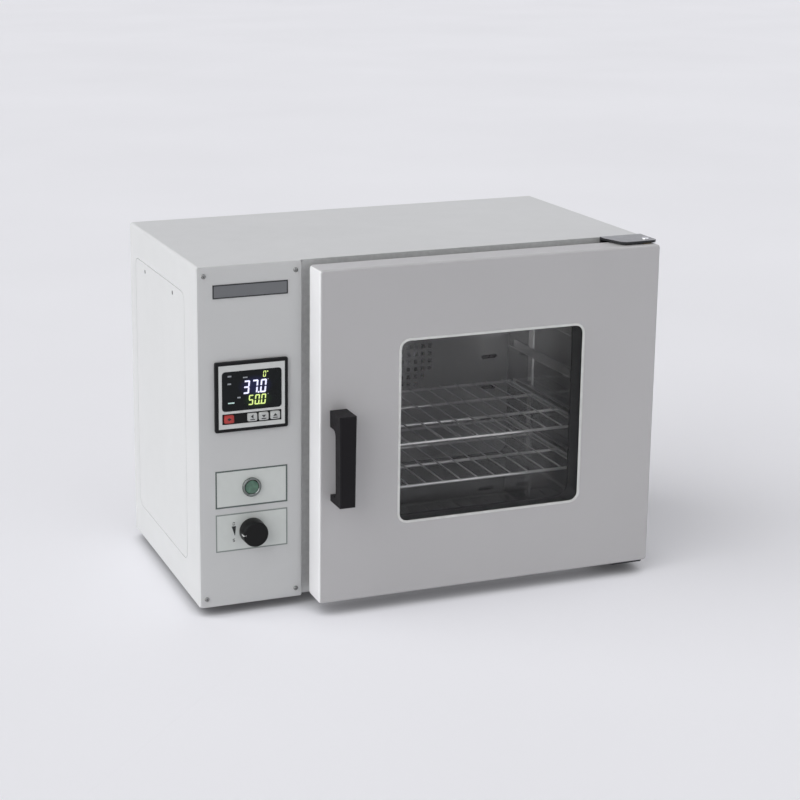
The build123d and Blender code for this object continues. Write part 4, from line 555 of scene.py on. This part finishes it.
# -------- screws and pins
def cross_cutter(foot, axis, reach, width, depth):
    """Two crossed tapered bars that press a cross recess into a screw head."""
    bm = bmesh.new()
    turn = axis.to_track_quat("Z", "Y").to_matrix().to_4x4()
    for angle in (0, math.pi / 2):
        shape = Matrix.Translation(foot) @ turn @ Matrix.Rotation(angle, 4, "Z")
        half = Vector((reach, width / 2, depth)) * MM
        arm = bar(bm, -half, half)
        for vert in arm:
            if vert.co.z < 0:
                vert.co.x *= 0.45
                vert.co.y *= 0.7
        bmesh.ops.transform(bm, matrix=shape, verts=arm)
    return bm


def pan_screw(foot, axis, head_radius, head, shank_radius, shank, name):
    """The mesh of one pan-head screw with a cross recess; foot is the middle of its seat."""
    # The head's rounding, as shares of its radius and height
    rounding = ((0.97, 0), (1, 0.12), (1, 0.4), (0.94, 0.68), (0.78, 0.88), (0.5, 0.97), (0, 1))
    profile = [(0, -shank), (shank_radius * 0.8, -shank), (shank_radius, -shank + 0.6)]
    profile += [(shank_radius, 0)] + [(head_radius * out, head * rise) for out, rise in rounding]
    bm = bmesh.new()
    spun(bm, foot, axis, profile, 28)
    solid = meshed(bm, name)
    top = foot + axis * head * MM
    cutter = cross_cutter(top, axis, head_radius * 0.55, head_radius * 0.24, head * 0.6)
    tool = bpy.data.meshes.new("cross recess")
    cutter.to_mesh(tool)
    cutter.free()
    screw = bpy.data.objects.new(name, solid)
    cut = bpy.data.objects.new("cross recess", tool)
    for helper in (screw, cut):
        bpy.context.scene.collection.objects.link(helper)
    press = screw.modifiers.new("Cross recess", "BOOLEAN")
    press.object = cut
    press.solver = "EXACT"
    press.use_self = True
    bpy.context.view_layer.update()
    seen = screw.evaluated_get(bpy.context.evaluated_depsgraph_get())
    result = bpy.data.meshes.new_from_object(seen)
    for helper in (screw, cut):
        bpy.data.objects.remove(helper)
    return result


def loose_parts(bm):
    """The vertices of each separate part of a bmesh."""
    seen = set()
    for first in bm.verts:
        if first in seen:
            continue
        part, ahead = set(), {first}
        while ahead:
            vert = ahead.pop()
            part.add(vert)
            ahead |= {edge.other_vert(vert) for edge in vert.link_edges} - part
        seen |= part
        yield part


def screw_set(node_name, axis, head_radius, head, shank_radius):
    """Round-headed screws with cross recesses in place of a CAD node's plain ones."""
    node = frame["nodes"][node_name]
    source = bmesh.new()
    source.from_mesh(node.data)
    bmesh.ops.remove_doubles(source, verts=source.verts, dist=MERGE)
    joined = bmesh.new()
    for part in loose_parts(source):
        places = [vert.co for vert in part]
        ends = [[pick(place[i] for place in places) for i in range(3)] for pick in (min, max)]
        middle = (Vector(ends[0]) + Vector(ends[1])) / 2
        along = [place.dot(axis) for place in places]
        foot = middle + axis * (max(along) - head * MM - middle.dot(axis))
        shank = (max(along) - min(along)) / MM - head
        mesh = pan_screw(foot, axis, head_radius, head, shank_radius, shank, node_name)
        joined.from_mesh(mesh)
        bpy.data.meshes.remove(mesh)
    source.free()
    piece = piece_from(joined, node_name + "_turned", node["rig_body"], "screw_steel", crease=40)
    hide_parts(node_name)


# Screws: node, where the heads face, and head radius, head height and shank radius in mm
SCREWS = (
    ("control_panel_screws", FORWARD, 2.9, 1.8, 1.45),
    ("side_cover_screws", LEFTWARD, 2.85, 0.6, 1.45),
    ("hinge_screws", FORWARD, 2.9, 1.8, 1.45),
    ("motor_cover_screws", REARWARD, 2.9, 1.8, 1.45),
    ("handle_screws", REARWARD, 2.9, 1.8, 1.95),
)


class FitScrews(bpy.types.Operator):
    """Fit round-headed cross-recess screws to the panel, side cover, hinges and motor cover"""

    bl_idname = "sterilizer.fit_screws"
    bl_label = "Screws"

    def execute(self, context):
        for screws in SCREWS:
            screw_set(*screws)
        return {"FINISHED"}


# Hinge pins, in millimetres: the domed head over the plate, and the shank under it
PIN_HEAD = 2.5
PIN_SHANK = 16.2


class FitHinges(bpy.types.Operator):
    """Fit domed pin heads, and ease the hinge plates and bushes"""

    bl_idname = "sterilizer.fit_hinges"
    bl_label = "Hinges"

    def execute(self, context):
        low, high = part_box("hinge_pins")
        middle = (low + high) / 2
        profile = [(0, -PIN_SHANK), (2.2, -PIN_SHANK), (3.0, 0.8 - PIN_SHANK), (3.0, 0), (4.5, 0)]
        profile += [(4.6, 0.2), (4.6, 0.9), (4.3, 1.5), (3.5, 2.1), (2.2, 2.4), (0, PIN_HEAD)]
        bm = bmesh.new()
        for end, axis in ((high.z, UP), (low.z, DOWN)):
            foot = Vector((middle.x, middle.y, end)) - axis * PIN_HEAD * MM
            spun(bm, foot, axis, profile)
        piece = piece_from(bm, "hinge_pins_domed", "cabinet", "pin_steel")
        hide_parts("hinge_pins")
        for name in ("upper_hinge_plate", "lower_hinge_plate", "hinge_bushes"):
            eased(name)
        return {"FINISHED"}


# -------- control panel
# How far lit digits and status marks stand from the display, in millimetres
DIGIT_DEPTH = 0.06
MARK_DEPTH = 0.05
# A digit's tops lean to the right by this share of its height
LEAN = 0.1
# The lit bars of each digit from 0 to 9
SEGMENTS = "abcdef bc abged abgcd fgbc afgcd afgedc abc abcdefg abcdfg".split()


def seven_segment(bm, reading, corner, width, height, pitch, stroke):
    """Lit bars of a number from its lower left corner; the other sizes are in millimetres."""
    gap = stroke * 0.42
    half = height / 2
    spots = {
        "a": ((0, height - stroke), (width, height)),
        "g": ((0, half - stroke / 2), (width, half + stroke / 2)),
        "d": ((0, 0), (width, stroke)),
        "f": ((0, half), (stroke, height)),
        "b": ((width - stroke, half), (width, height)),
        "e": ((0, 0), (stroke, half)),
        "c": ((width - stroke, 0), (width, half)),
    }
    fresh = []
    column = 0
    for mark in reading:
        if mark == ".":
            left = column * pitch - (pitch - width) / 2 - stroke / 2
            low = Vector((left, -DIGIT_DEPTH, 0)) * MM
            fresh += bar(bm, low, low + Vector((stroke, DIGIT_DEPTH, stroke)) * MM)
            continue
        for name in SEGMENTS[int(mark)]:
            (x0, z0), (x1, z1) = spots[name]
            level = name in "agd"
            across, rise = (gap, 0) if level else (0, gap)
            low = Vector((column * pitch + x0 + across, -DIGIT_DEPTH, z0 + rise)) * MM
            high = Vector((column * pitch + x1 - across, 0, z1 - rise)) * MM
            fresh += bar(bm, low, high)
        column += 1
    lean = Matrix(((1, 0, LEAN, 0), (0, 1, 0, 0), (0, 0, 1, 0), (0, 0, 0, 1)))
    bmesh.ops.transform(bm, matrix=Matrix.Translation(corner) @ lean, verts=fresh)


def mark_at(bm, corner, depth, across, rise, width, height):
    """A thin upright patch on a surface, placed from its lower left corner in millimetres."""
    low = corner + Vector((across, -depth, rise)) * MM
    bar(bm, low, low + Vector((width, depth, height)) * MM)


# Readings: corner from the display's, then width, height, pitch and stroke, all in millimetres
READINGS = {
    "upper": ((26.2, 20.0), (7.6, 16.6, 10.6, 2.0)),
    "lower": ((32.7, 5.6), (6.0, 12.6, 7.9, 1.5)),
    "small": ((51.5, 39.2), (3.6, 7.4, 5.0, 0.9)),
}
# Status marks: across and up from the display's corner, width and height, in millimetres
MARKS = {
    "status_bar": ((7.4, 9.4, 8.0, 1.5),),
    "status_marks": ((7.2, 42.4, 4.6, 1.8), (7.0, 33.0, 4.4, 1.8), (19.2, 15.4, 4.0, 1.7)),
    "upper_mark": ((26.4, 39.8, 5.6, 1.5), (57.4, 35.6, 1.3, 1.3), (57.4, 17.2, 1.1, 1.1)),
}
# The degree mark beside the small reading, in the same way
DEGREE = (56.8, 45.0, 1.4, 1.4)


class LightDisplay(bpy.types.Operator):
    """Light the controller's two readings and its small status marks"""

    bl_idname = "sterilizer.light_display"
    bl_label = "Display"

    def execute(self, context):
        settings = context.scene.sterilizer_display
        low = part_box("display_window")[0]
        texts = {"upper": f"{settings.upper:.1f}", "lower": f"{settings.lower:.1f}", "small": "0"}
        for name, text in texts.items():
            (across, rise), size = READINGS[name]
            bm = bmesh.new()
            seven_segment(bm, text, low + Vector((across, 0, rise)) * MM, *size)
            if name == "small":
                mark_at(bm, low, DIGIT_DEPTH, *DEGREE)
            ink = "upper_segment" if name == "upper" else "lower_segment"
            piece_from(bm, name + "_reading", "cabinet", "display_plastic", ink)
        for name, places in MARKS.items():
            bm = bmesh.new()
            for place in places:
                mark_at(bm, low, MARK_DEPTH, *place)
            ink = "marker_segment" if name == "status_bar" else "dim_segment"
            piece_from(bm, name, "cabinet", "display_plastic", ink)
        return {"FINISHED"}


# Each key's sign: sides of its shape, radius in mm, turn in radians, and rise in mm
KEY_SIGNS = {
    "run_key": (4, 2.4, 0.0, 0.0),
    "left_key": (3, 2.7, math.pi / 2, 0.9),
    "middle_key": (3, 2.7, math.pi, 0.5),
    "right_key": (3, 2.7, 0.0, 0.2),
}
# A key's cap, in millimetres: room around it, corner radius and rounding of its rim
KEY_ROOM = 0.3
KEY_CORNER = 2.0
KEY_RIM = 0.5


def key_sign(bm, low, high, sides, radius, turn, rise):
    """A small sign printed on a key's face: a triangle over a bar, or a lozenge alone."""
    centre = Vector(((low.x + high.x) / 2, low.y, (low.z + high.z) / 2))
    upright = Matrix.Rotation(math.pi / 2, 4, "X")
    spot = Matrix.Translation(centre + UP * rise * MM) @ upright @ Matrix.Rotation(turn, 4, "Z")
    flat = Matrix.Diagonal((1.2, 0.8, 1, 1))
    size = {"segments": sides, "radius1": radius * MM, "radius2": radius * MM, "depth": 0.1 * MM}
    bmesh.ops.create_cone(bm, cap_ends=True, matrix=spot @ flat, **size)
    if sides == 3:
        line = Vector((3.0, 0.05, 0.6)) * MM
        foot = centre + DOWN * 2.9 * MM
        bar(bm, foot - line, foot + line)


class MakeKeys(bpy.types.Operator):
    """Mould the controller's keys with rounded corners, and print a sign on each"""

    bl_idname = "sterilizer.make_keys"
    bl_label = "Keys"

    def execute(self, context):
        for key, sign in KEY_SIGNS.items():
            low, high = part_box(key)
            slot = "key_red" if key == "run_key" else "key_dark"
            room = Vector((KEY_ROOM, 0, KEY_ROOM)) * MM
            bm = bmesh.new()
            rounded_plate(bm, low + room, high - room, KEY_CORNER)
            near = low.y + 0.01 * MM
            rim = [edge for edge in bm.edges if all(vert.co.y < near for vert in edge.verts)]
            bevelled(bm, rim, KEY_RIM * MM, 3)
            piece = piece_from(bm, key + "_cap", key, slot)
            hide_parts(key)
            bm = bmesh.new()
            key_sign(bm, low, high, *sign)
            piece_from(bm, key + "_sign", key, slot, "black_ink")
        return {"FINISHED"}


def turned_control(node_name, name, body, slot, profile, steps, crease=35):
    """A turned piece in place of a round CAD node; its profile starts at the node's back."""
    low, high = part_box(node_name)
    middle = (low + high) / 2
    bm = bmesh.new()
    spun(bm, Vector((middle.x, high.y, middle.z)), FORWARD, profile, steps)
    piece = piece_from(bm, name, body, slot, crease=crease)
    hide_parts(node_name)


def depth_of(node_name):
    """How deep a CAD node is from front to back, in millimetres."""
    low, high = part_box(node_name)
    return (high.y - low.y) / MM


class MakePowerSwitch(bpy.types.Operator):
    """Turn the power switch's chromed ring and its domed green lens"""

    bl_idname = "sterilizer.make_power_switch"
    bl_label = "Power switch"

    def execute(self, context):
        front = depth_of("power_switch_housing")
        barrel, ring, bore, lens = 9.6, 12, 8.5, 8.4
        lip, bottom = front - 3.2, front - 12.1
        profile = [(0, 0), (barrel, 0), (barrel, lip), (ring, lip), (ring, front - 1.2)]
        profile += [(11.8, front - 0.6), (11.2, front - 0.1), (10.6, front), (9.9, front - 0.2)]
        profile += [(9.0, front - 1.0), (8.6, front - 1.4), (bore, front - 1.8), (bore, bottom)]
        profile += [(0, bottom)]
        spec = ("cabinet", "ring_chrome", profile, 64)
        turned_control("power_switch_housing", "power_switch_ring", *spec)
        face = depth_of("power_button")
        dome = [(0, 0), (lens, 0), (lens, face - 1.5), (8.2, face - 1.0), (7.7, face - 0.7)]
        dome += [(6.2, face - 0.35), (4.0, face - 0.1), (2.0, face - 0.02), (0, face)]
        spec = ("power_button", "lens_green", dome, 64)
        turned_control("power_button", "power_button_lens", *spec)
        return {"FINISHED"}


class MakeAirKnob(bpy.types.Operator):
    """Turn the air knob, with its dished face, bevelled edge and white pointer"""

    bl_idname = "sterilizer.make_air_knob"
    bl_label = "Air knob"

    def execute(self, context):
        front = depth_of("air_knob")
        radius = 16.3
        profile = [(0, 4.0), (13.6, 4.0), (14.0, 0), (15.9, 0), (radius, 0.5), (radius, 1.6)]
        profile += [(15.9, front - 1.6), (15.6, front - 0.7), (14.9, front - 0.1), (14.2, front)]
        profile += [(13.4, front - 0.15), (11.5, front - 0.4), (0, front - 0.5)]
        spec = ("air_control", "knob_black", profile, 72, 28)
        turned_control("air_knob", "air_knob_turned", *spec)
        low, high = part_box("air_knob")
        middle = (low + high) / 2
        half = 0.7
        bm = bmesh.new()
        # The pointer on the face's rim, and down the side: inner and outer radius, front and back
        for inner, outer, start, end in ((13.0, 15.4, 0.1, 1.0), (15.2, radius, 0.7, 7.0)):
            hub = Vector((middle.x, low.y, middle.z))
            near = hub + Vector((-outer, start, -half)) * MM
            bar(bm, near, hub + Vector((-inner, end, half)) * MM)
        piece_from(bm, "air_knob_pointer", "air_control", "knob_black", "white_ink")
        return {"FINISHED"}


# Plates with a border: node, line width in mm, and ink
BORDERS = (
    ("power_label", 1.9, "dark_ink"),
    ("air_label", 1.6, "pale_ink"),
    ("nameplate", 1.4, "black_ink"),
)
# The opening scale's wedge, in millimetres: half its width at the top, and half its height
WEDGE_HALF = 2.8
WEDGE_RISE = 6.0


class PrintLabels(bpy.types.Operator):
    """Print the borders of the plates and the opening scale beside the air knob"""

    bl_idname = "sterilizer.print_labels"
    bl_label = "Plates and prints"

    def execute(self, context):
        for node, line, ink in BORDERS:
            bm = bmesh.new()
            ruled_border(bm, *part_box(node), line)
            slot = "nameplate_plastic" if node == "nameplate" else "label_film"
            piece_from(bm, node + "_border", "cabinet", slot, ink)
        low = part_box("air_label")[0]
        knob_low, knob_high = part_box("air_knob")
        middle = (knob_low.z + knob_high.z) / 2
        spot = Vector((knob_low.x - 5.6 * MM, low.y - DIGIT_DEPTH / 2 * MM, middle + 1.6 * MM))
        half = Vector((WEDGE_HALF, DIGIT_DEPTH / 2, WEDGE_RISE)) * MM
        bm = bmesh.new()
        wedge = bar(bm, spot - half, spot + half)
        for vert in wedge:
            if vert.co.z < spot.z:
                vert.co.x = spot.x + WEDGE_HALF / 2 * MM + (vert.co.x - spot.x) * 0.1
        for digit, rise in (("0", 8.8), ("5", -12.4)):
            corner = Vector((spot.x - 1.6 * MM, low.y, middle + rise * MM))
            seven_segment(bm, digit, corner, 2.8, 4.0, 4, 0.75)
        piece_from(bm, "opening_scale", "cabinet", "label_film", "black_ink")
        return {"FINISHED"}


# -------- chamber, window, back
# Shelves: radii of rails and wires in millimetres, and how many of each
RAIL_RADIUS = 2.0
WIRE_RADIUS = 1.05
RAILS = 4
WIRES = 14


def wire(bm, start, end, radius):
    """A round wire between two points, in metres, whose ends are rounded off."""
    axis = (end - start).normalized()
    turn = axis.to_track_quat("Z", "Y").to_matrix().to_4x4()
    shape = Matrix.Translation((start + end) / 2) @ turn
    size = {"segments": 12, "radius1": radius, "radius2": radius, "depth": (end - start).length}
    made = bmesh.ops.create_cone(bm, cap_ends=True, matrix=shape, **size)
    rims = [
        edge
        for edge in edges_of(made["verts"])
        if abs((edge.verts[0].co - edge.verts[1].co).dot(axis)) < MERGE / 10
    ]
    bevelled(bm, rims, radius / 2, 2)


class DrawShelves(bpy.types.Operator):
    """Draw the two shelves in round wire, with ends rounded off and rails set on their ledges"""

    bl_idname = "sterilizer.draw_shelves"
    bl_label = "Wire shelves"

    def execute(self, context):
        for name in ("lower_shelf", "upper_shelf"):
            low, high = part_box(name)
            thick, thin = RAIL_RADIUS * MM, WIRE_RADIUS * MM
            # The CAD rails are six-sided and lie on a flat
            level = low.z + thick * math.cos(math.pi / 6)
            left, right = low.x + thick, high.x - thick
            front, back = low.y + thick, high.y - thick
            bm = bmesh.new()
            for x in (left, right):
                wire(bm, Vector((x, front, level)), Vector((x, back, level)), thick)
            for row in range(RAILS):
                y = front + (back - front) * row / (RAILS - 1)
                wire(bm, Vector((low.x, y, level)), Vector((high.x, y, level)), thick)
            upper = high.z - thin - 0.01 * MM
            for row in range(WIRES):
                x = left + (right - left) * (row + 0.5) / WIRES
                wire(bm, Vector((x, front - MM, upper)), Vector((x, back + MM, upper)), thin)
            piece = piece_from(bm, name + "_wires", name, "shelf_wire")
            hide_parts(name)
        return {"FINISHED"}


# Nodes whose rounds are shaded smoothly, and nodes whose folded corners are
ROUNDED = (
    "outer_shell", "side_cover", "controller_housing", "display_window", "feet",
    "heater_element", "fan_motor", "motor_cover", "exhaust_pipe", "temperature_probe",
    "door_shell", "window_trim", "door_gasket", "handle", "power_inlet", "magnetic_catch",
)
FOLDED = ("control_panel", "front_frame", "back_panel", "chamber_liner", "door_inner_panel")


class EaseSheetMetal(bpy.types.Operator):
    """Give every plain node its finish, and let the rounded ones shade smoothly"""

    bl_idname = "sterilizer.ease_sheet_metal"
    bl_label = "Casings and finishes"

    def execute(self, context):
        for node in frame["nodes"].values():
            slot = node.data.materials[0].name
            node.material_slots[0].link = "OBJECT"
            node.material_slots[0].material = finish(slot)
        for name in ROUNDED:
            eased(name)
        for name in FOLDED:
            eased(name, crease=50)
        # The window's sleeve takes a darkened stainless as painted shade
        eased("window_sleeve", ink="sleeve_painted_shade")
        eased("duct_plate", ink="duct_stainless")
        return {"FINISHED"}


# The inlet's contacts: where each stands across and up from its middle, and half its size, in mm
CONTACTS = ((-7, -2), (0, 2), (7, -2))
CONTACT_HALF = (1.06, 7.6, 2.06)
# How far their middles lie in front of the inlet's back
CONTACT_SETBACK = 10.9


class FitInletPins(bpy.types.Operator):
    """Fit bright contact blades in the appliance inlet"""

    bl_idname = "sterilizer.fit_inlet_pins"
    bl_label = "Inlet contacts"

    def execute(self, context):
        low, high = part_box("power_inlet")
        middle = (low + high) / 2
        half = Vector(CONTACT_HALF) * MM
        bm = bmesh.new()
        for across, rise in CONTACTS:
            centre = Vector((middle.x, high.y, middle.z))
            centre += Vector((across, -CONTACT_SETBACK, rise)) * MM
            bevelled(bm, edges_of(bar(bm, centre - half, centre + half)), 0.4 * MM, 2)
        piece_from(bm, "inlet_contacts", "cabinet", "inlet_plastic", "pin_nickel")
        return {"FINISHED"}


# -------- stage
# How far from the object the paper's contact shadow reaches, in millimetres
CONTACT_REACH = 34
# Half the paper's side, in metres
PAPER_REACH = 60
# How wide the soft lamps look from the object, in degrees
LAMP_WIDTH = 80
# The reference's view: focal length and sensor in mm, shift, place in metres, turn in degrees
FOCAL_LENGTH = 81.72
SENSOR_WIDTH = 36
LENS_SHIFT = (0.1839, -0.1289)
CAMERA_PLACE = (-0.8884, -2.1372, 0.8853)
CAMERA_TURN = (76.9205, 0.3140, -18.4873)


class BuildStage(bpy.types.Operator):
    """Lay the pale floor, set the soft studio light and place the camera"""

    bl_idname = "sterilizer.build_stage"
    bl_label = "Stage"

    def execute(self, context):
        settings = context.scene.sterilizer_stage
        bm = bmesh.new()
        bmesh.ops.create_grid(bm, x_segments=1, y_segments=1, size=PAPER_REACH)
        mesh = bpy.data.meshes.new("floor")
        bm.to_mesh(mesh)
        bm.free()
        floor = bpy.data.objects.new("floor", mesh)
        context.scene.collection.objects.link(floor)
        mesh.materials.append(self.seamless_paper(settings))
        floor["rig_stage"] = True
        self.sky(context.scene, settings)
        self.soft_lamp("softbox", settings.lamp, settings.lamp_direction)
        self.soft_lamp("fill", settings.fill, settings.fill_direction)
        self.camera(context.scene)
        context.scene.view_settings.view_transform = "Standard"
        return {"FINISHED"}

    def soft_lamp(self, name, strength, direction):
        """A wide, even, far light; strength is what it adds to a surface square to it."""
        lamp = bpy.data.lights.new(name, "SUN")
        lamp.energy = strength * math.pi
        lamp.angle = math.radians(LAMP_WIDTH)
        light = bpy.data.objects.new(name, lamp)
        towards = Vector(direction)
        light.rotation_euler = towards.to_track_quat("Z", "Y").to_euler()
        light.location = towards.normalized() * 3
        bpy.context.scene.collection.objects.link(light)

    def seamless_paper(self, settings):
        """Studio paper: matt and even, partly shown at its own pale colour, with a painted contact
        shadow that darkens it close to what stands on it."""
        material, tree, shader, place = started("seamless paper", Roughness=0.9, IOR=1.3)
        paper = toned(settings.floor, 1)
        tone = mixing(cloudy(tree, place, 900), toned(paper, 0.97), paper)
        tone = add(tree, "Mix", tone, **MIXED)
        # Painted contact shadow: ambient occlusion darkens the paper towards 0.22 of its colour
        # near the object
        near = {"Color": tone, "Distance": CONTACT_REACH * MM}
        near = add(tree, "AmbientOcclusion", near, "AO", samples=16)
        clear = add(tree, "MapRange", {"Value": near, "From Min": 0.1, "From Max": 0.75})
        tone = add(tree, "Mix", mixing(clear, toned(paper, 0.22), tone), **MIXED)
        tree.links.new(tone, shader.inputs["Base Color"])
        shown = add(tree, "Emission", {"Color": tone, "Strength": 1})
        share = {0: self.looked_at(tree), 1: settings.floor_lift}
        share = add(tree, "Math", share, operation="MULTIPLY")
        mixed = add(tree, "MixShader", {0: share, 1: shader.outputs[0], 2: shown})
        tree.links.new(mixed, tree.nodes["Material Output"].inputs["Surface"])
        return material

    def looked_at(self, tree):
        """1 for the eye's rays, and for those that metal and glass send on, or else 0."""
        path = add(tree, "LightPath").node.outputs
        either = path["Is Camera Ray"]
        for ray in ("Is Glossy Ray", "Is Transmission Ray"):
            either = add(tree, "Math", {0: either, 1: path[ray]}, operation="MAXIMUM")
        return either

    def sky(self, scene, settings):
        """An even room light, seen by the eye and in reflections as the backdrop's colour."""
        world = bpy.data.worlds.new("studio")
        scene.world = world
        world.use_nodes = True
        tree = world.node_tree
        tree.nodes.clear()
        room = add(tree, "Background", {"Color": linear("#FFFFFF"), "Strength": settings.room})
        shown = add(tree, "Background", {"Color": toned(settings.backdrop, 1), "Strength": 1})
        mixed = add(tree, "MixShader", {0: self.looked_at(tree), 1: room, 2: shown})
        add(tree, "OutputWorld", {"Surface": mixed})

    def camera(self, scene):
        """The view of the reference: from the left, a little above."""
        lens = bpy.data.cameras.new("camera")
        lens.sensor_width = SENSOR_WIDTH
        lens.lens = FOCAL_LENGTH
        lens.shift_x, lens.shift_y = LENS_SHIFT
        lens.clip_start = 0.05
        lens.clip_end = 200
        camera = bpy.data.objects.new("camera", lens)
        camera.location = CAMERA_PLACE
        camera.rotation_euler = Euler([math.radians(angle) for angle in CAMERA_TURN])
        scene.collection.objects.link(camera)
        scene.camera = camera


# -------- settings, panel, registering
def amount(label, description, usual, most=4):
    """A number from nought to the most that the sidebar offers."""
    return FloatProperty(name=label, description=description, default=usual, min=0, max=most)


def bearing(label, description, usual):
    """Where a lamp stands, seen from the object."""
    kind = {"default": usual, "subtype": "DIRECTION"}
    return FloatVectorProperty(name=label, description=description, **kind)


def shade(label, description, usual):
    """A colour that a user may change, with its usual value in sRGB hex."""
    kind = {"default": linear(usual)[:3], "subtype": "COLOR"}
    return FloatVectorProperty(name=label, description=description, **kind)


class SterilizerDisplay(bpy.types.PropertyGroup):
    """What the controller shows."""

    upper: amount("Measured value", "Upper reading, in degrees Celsius", 37.0, 99.9)
    lower: amount("Set value", "Lower reading, in degrees Celsius", 50.0, 99.9)


class SterilizerStage(bpy.types.PropertyGroup):
    """Light and backdrop."""

    room: amount("Room light", "Strength of the even light", 0.24, 2)
    lamp: amount("Softbox", "Light that the softbox adds square on", 0.84)
    lamp_direction: bearing("Softbox direction", "Where the softbox stands", (-0.63, -0.1, 0.43))
    fill: amount("Fill", "Light that the fill lamp adds square on", 0.17)
    fill_direction: bearing("Fill direction", "Where the fill lamp stands", (0.55, -0.25, 0.6))
    floor: shade("Floor", "Colour of the paper", "#F3F3F8")
    floor_lift: amount("Floor lift", "Share of the floor shown at its own colour", 0.2, 1)
    backdrop: shade("Backdrop", "Colour behind the object", "#DFDFE8")


class SterilizerColours(bpy.types.PropertyGroup):
    """Colours of the painted, moulded and lit pieces."""

    __annotations__ = {name: shade(*values) for name, values in COLOURS.items()}


STEPS = (
    EaseSheetMetal, FitScrews, FitHinges, LightDisplay, MakeKeys, MakePowerSwitch,
    MakeAirKnob, PrintLabels, DrawShelves, FitInletPins, BuildStage,
)


class SterilizerPanel(bpy.types.Panel):
    """Lists the pieces and the stage, with the settings they read"""

    bl_idname = "VIEW3D_PT_sterilizer"
    bl_label = "Dry heat sterilizer"
    bl_space_type = "VIEW_3D"
    bl_region_type = "UI"
    bl_category = "Sterilizer"

    def draw(self, context):
        scene = context.scene
        for group in (scene.sterilizer_colours, scene.sterilizer_display, scene.sterilizer_stage):
            box = self.layout.box()
            for name in group.bl_rna.properties.keys():
                if name not in ("rna_type", "name"):
                    box.prop(group, name)
        for step in STEPS:
            self.layout.operator(step.bl_idname)


GROUPS = (SterilizerColours, SterilizerDisplay, SterilizerStage)


def register():
    """Registers the settings, the steps and the panel."""
    for kind in (*GROUPS, *STEPS, SterilizerPanel):
        bpy.utils.register_class(kind)
    bpy.types.Scene.sterilizer_colours = PointerProperty(type=SterilizerColours)
    bpy.types.Scene.sterilizer_display = PointerProperty(type=SterilizerDisplay)
    bpy.types.Scene.sterilizer_stage = PointerProperty(type=SterilizerStage)


def unregister():
    """Takes away what register added."""
    del bpy.types.Scene.sterilizer_stage
    del bpy.types.Scene.sterilizer_display
    del bpy.types.Scene.sterilizer_colours
    for kind in reversed((*GROUPS, *STEPS, SterilizerPanel)):
        bpy.utils.unregister_class(kind)


def main():
    """Dresses the part step by step."""
    register()
    for step in STEPS:
        getattr(bpy.ops.sterilizer, step.bl_idname.split(".")[1])()
    boxes = [[list(corner) for corner in box] for box in (CAD_BOX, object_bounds())]


if __name__ == "__main__":
    main()
